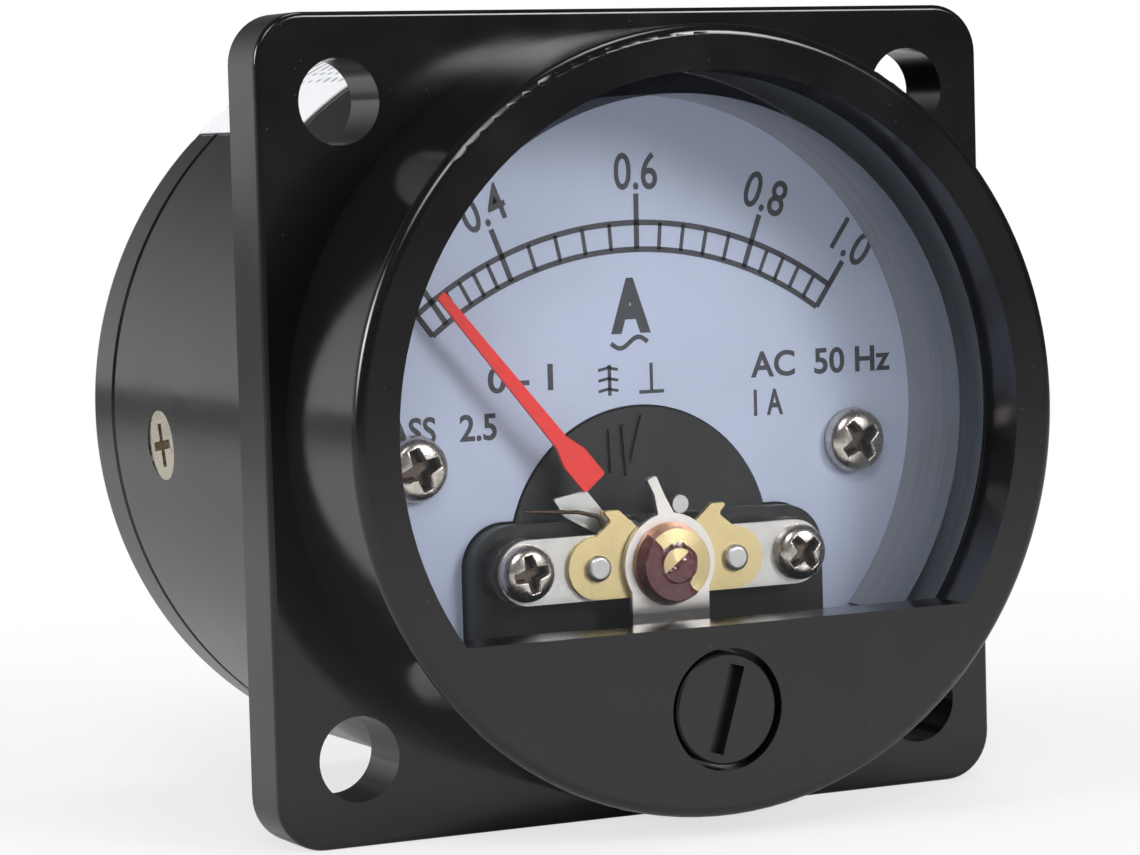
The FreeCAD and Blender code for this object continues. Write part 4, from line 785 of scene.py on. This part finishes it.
class METER_OT_terminals(bpy.types.Operator):
    """Cut the thread of the terminal studs and finish the nuts, washers and tags"""
    bl_idname = "meter.terminals"
    bl_label = "Terminals"

    def execute(self, context):
        sizes = context.scene.meter_sizes
        colours = context.scene.meter_colours
        brass = plated_metal("Terminal brass", colours.brass, 0.3, (0.3, 0.3, 2.0), 0.12)
        dress(brass, "terminal_nuts", "solder_tags")
        dress(plated_metal("Washer nickel", colours.nickel, 0.24), "stud_washers", "spring_washers")
        work = bmesh.new()
        for low, high in halves_of("terminal_studs"):
            self.stud(work, (low.x + high.x) / 2, low.y, high.y, (high.x - low.x) / 2, sizes)
        made = make_piece("threaded_studs", work, brass, "root", smooth=True)
        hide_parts("terminal_studs")
        return {"FINISHED"}

    def stud(self, work, x, front, back, head_radius, sizes):
        """Stud with a flat head and a thread that fades out towards its back end."""
        pitch, depth, spokes = sizes.thread_pitch / MM, sizes.thread_depth / MM, 32
        rings_per_turn = 8
        thread_start = front + STUD_HEAD
        loops = [self.circle(x, front, head_radius, spokes),
                 self.circle(x, thread_start, head_radius, spokes),
                 self.circle(x, thread_start, STUD_RADIUS - depth, spokes)]
        count = int((back - thread_start) / pitch * rings_per_turn)
        for ring in range(1, count):
            y = thread_start + ring * pitch / rings_per_turn
            fade = min(1.0, (back - y) / (pitch * 1.5))
            loop = []
            for spoke in range(spokes):
                angle = math.tau * spoke / spokes
                phase = ((y / pitch - spoke / spokes) % 1.0)
                crest = 1 - abs(2 * phase - 1)
                radius = STUD_RADIUS - depth * (1 - crest * fade)
                loop.append((x + radius * math.cos(angle), y, radius * math.sin(angle)))
            loops.append(loop)
        loops.append(self.circle(x, back, STUD_RADIUS - depth * 1.2, spokes))
        add_loops(work, loops)

    def circle(self, x, y, radius, spokes):
        turns = [math.tau * spoke / spokes for spoke in range(spokes)]
        return [(x + radius * math.cos(angle), y, radius * math.sin(angle)) for angle in turns]


class METER_OT_label(bpy.types.Operator):
    """Finish the paper label on the can"""
    bl_idname = "meter.label"
    bl_label = "Label"

    def execute(self, context):
        dress(label_paper(context.scene.meter_colours), "can_label")
        return {"FINISHED"}


class METER_OT_studio(bpy.types.Operator):
    """Set up the pale floor, the soft lamps and the camera"""
    bl_idname = "meter.studio"
    bl_label = "Studio"

    def execute(self, context):
        self.floor(context.scene.meter_colours)
        self.lamps()
        self.background(context.scene)
        self.camera(context.scene)
        context.scene.view_settings.view_transform = "Standard"
        return {"FINISHED"}

    def floor(self, colours):
        finish = Finish("Studio floor", colours.floor, 0.8)
        grain = finish.noise(0.3, 4.0)
        paler = tuple(channel * 0.97 for channel in colours.floor)
        finish.put("Base Color", finish.blend(grain, finish.base, (*paler, 1.0)))
        white = finish.add("ShaderNodeEmission", {"Color": (1.0, 1.0, 1.0, 1.0), "Strength": 1.0})
        far = finish.span(finish.radius_from_axis(), FLOOR_FADE[0], FLOOR_FADE[1], FLOOR_GLOW, 1.0)
        seen = finish.calc("MULTIPLY", finish.add("ShaderNodeLightPath").outputs["Is Camera Ray"], far)
        mix = finish.add("ShaderNodeMixShader", {0: seen, 1: finish.surface.outputs[0], 2: white.outputs[0]})
        finish.feed(finish.tree.nodes["Material Output"].inputs["Surface"], mix.outputs[0])
        work = bmesh.new()
        bmesh.ops.create_grid(work, x_segments=8, y_segments=8, size=FLOOR_HALF_WIDTH)
        mesh = bpy.data.meshes.new("studio_floor")
        work.to_mesh(mesh)
        work.free()
        mesh.materials.append(finish.material)
        floor = bpy.data.objects.new("studio_floor", mesh)
        floor.location.z = FLOOR_HEIGHT
        bpy.context.scene.collection.objects.link(floor)

    def lamps(self):
        for name, place, size, power in LAMPS:
            light = bpy.data.lights.new(name, "AREA")
            light.shape = "DISK"
            light.size = size
            light.energy = power
            light.spread = math.radians(LAMP_SPREAD)
            lamp = bpy.data.objects.new(name, light)
            lamp.location = place
            lamp.rotation_euler = (-Vector(place)).to_track_quat("-Z", "Y").to_euler()
            bpy.context.scene.collection.objects.link(lamp)

    def background(self, scene):
        """White behind the object, softer grey for the light that falls on it."""
        world = bpy.data.worlds.new("Studio")
        scene.world = world
        world.use_nodes = True
        tree = world.node_tree
        sky = tree.nodes["Background"]
        path = tree.nodes.new("ShaderNodeLightPath")
        direction = tree.nodes.new("ShaderNodeTexCoord")
        toward = tree.nodes.new("ShaderNodeVectorMath")
        toward.operation = "DOT_PRODUCT"
        toward.inputs[1].default_value = Vector(BRIGHT_SIDE).normalized()
        tree.links.new(direction.outputs["Generated"], toward.inputs[0])
        side = tree.nodes.new("ShaderNodeMapRange")
        side.interpolation_type = "SMOOTHSTEP"
        limits = (BRIGHT_FROM, BRIGHT_TO, DIM_SIDE, 1.0)
        for key, value in zip(("From Min", "From Max", "To Min", "To Max"), limits):
            side.inputs[key].default_value = value
        tree.links.new(toward.outputs["Value"], side.inputs["Value"])
        shine = self.mix(tree, path.outputs["Is Glossy Ray"], AMBIENT, side.outputs["Result"])
        clear = self.mix(tree, path.outputs["Is Transmission Ray"], shine, 1.0)
        seen = self.mix(tree, path.outputs["Is Camera Ray"], clear, 1.0)
        tree.links.new(seen, sky.inputs["Strength"])
        sky.inputs["Color"].default_value = (1.0, 1.0, 1.0, 1.0)

    def mix(self, tree, factor, first, second):
        node = tree.nodes.new("ShaderNodeMix")
        for index, value in enumerate((factor, None, first, second)):
            if isinstance(value, bpy.types.NodeSocket):
                tree.links.new(value, node.inputs[index])
            elif value is not None:
                node.inputs[index].default_value = value
        return node.outputs[0]

    def camera(self, scene):
        azimuth, elevation, roll = (math.radians(angle) for angle in CAMERA_ANGLES)
        back = Vector((math.sin(azimuth) * math.cos(elevation), -math.cos(azimuth) * math.cos(elevation),
                       math.sin(elevation)))
        right = (-back).cross(Vector((0, 0, 1))).normalized()
        up = right.cross(-back)
        across = right * math.cos(roll) + up * math.sin(roll)
        upward = up * math.cos(roll) - right * math.sin(roll)
        lens = bpy.data.cameras.new("Meter camera")
        lens.sensor_width = SENSOR_WIDTH
        lens.lens = CAMERA_FOCAL_PIXELS / IMAGE_SIZE[0] * lens.sensor_width
        lens.clip_start, lens.clip_end = CAMERA_CLIP
        camera = bpy.data.objects.new("Meter camera", lens)
        camera.matrix_world = Matrix((across, upward, back)).transposed().to_4x4()
        camera.location = Vector(CAMERA_TARGET) + back * CAMERA_DISTANCE
        scene.collection.objects.link(camera)
        scene.camera = camera


class METER_PT_looks(bpy.types.Panel):
    """The meter's sizes, colours and steps"""
    bl_idname = "METER_PT_looks"
    bl_label = "Panel meter"
    bl_space_type = "VIEW_3D"
    bl_region_type = "UI"
    bl_category = "Meter"

    def draw(self, context):
        layout = self.layout
        for group in (context.scene.meter_sizes, context.scene.meter_colours):
            box = layout.box()
            for key in group.__annotations__:
                box.prop(group, key)
        for step in STEPS:
            layout.operator(step.bl_idname)


STEPS = (METER_OT_mouldings, METER_OT_pane, METER_OT_dial, METER_OT_screws, METER_OT_bridge,
         METER_OT_movement, METER_OT_terminals, METER_OT_label, METER_OT_studio)
CLASSES = (MeterSizes, MeterColours, *STEPS, METER_PT_looks)


def register():
    for made in CLASSES:
        bpy.utils.register_class(made)
    bpy.types.Scene.meter_sizes = PointerProperty(type=MeterSizes)
    bpy.types.Scene.meter_colours = PointerProperty(type=MeterColours)


def unregister():
    del bpy.types.Scene.meter_sizes
    del bpy.types.Scene.meter_colours
    for made in reversed(CLASSES):
        bpy.utils.unregister_class(made)


def main():
    """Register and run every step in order."""
    register()
    for step in STEPS:
        getattr(bpy.ops.meter, step.bl_idname.split(".")[1])()


if __name__ == "__main__":
    main()
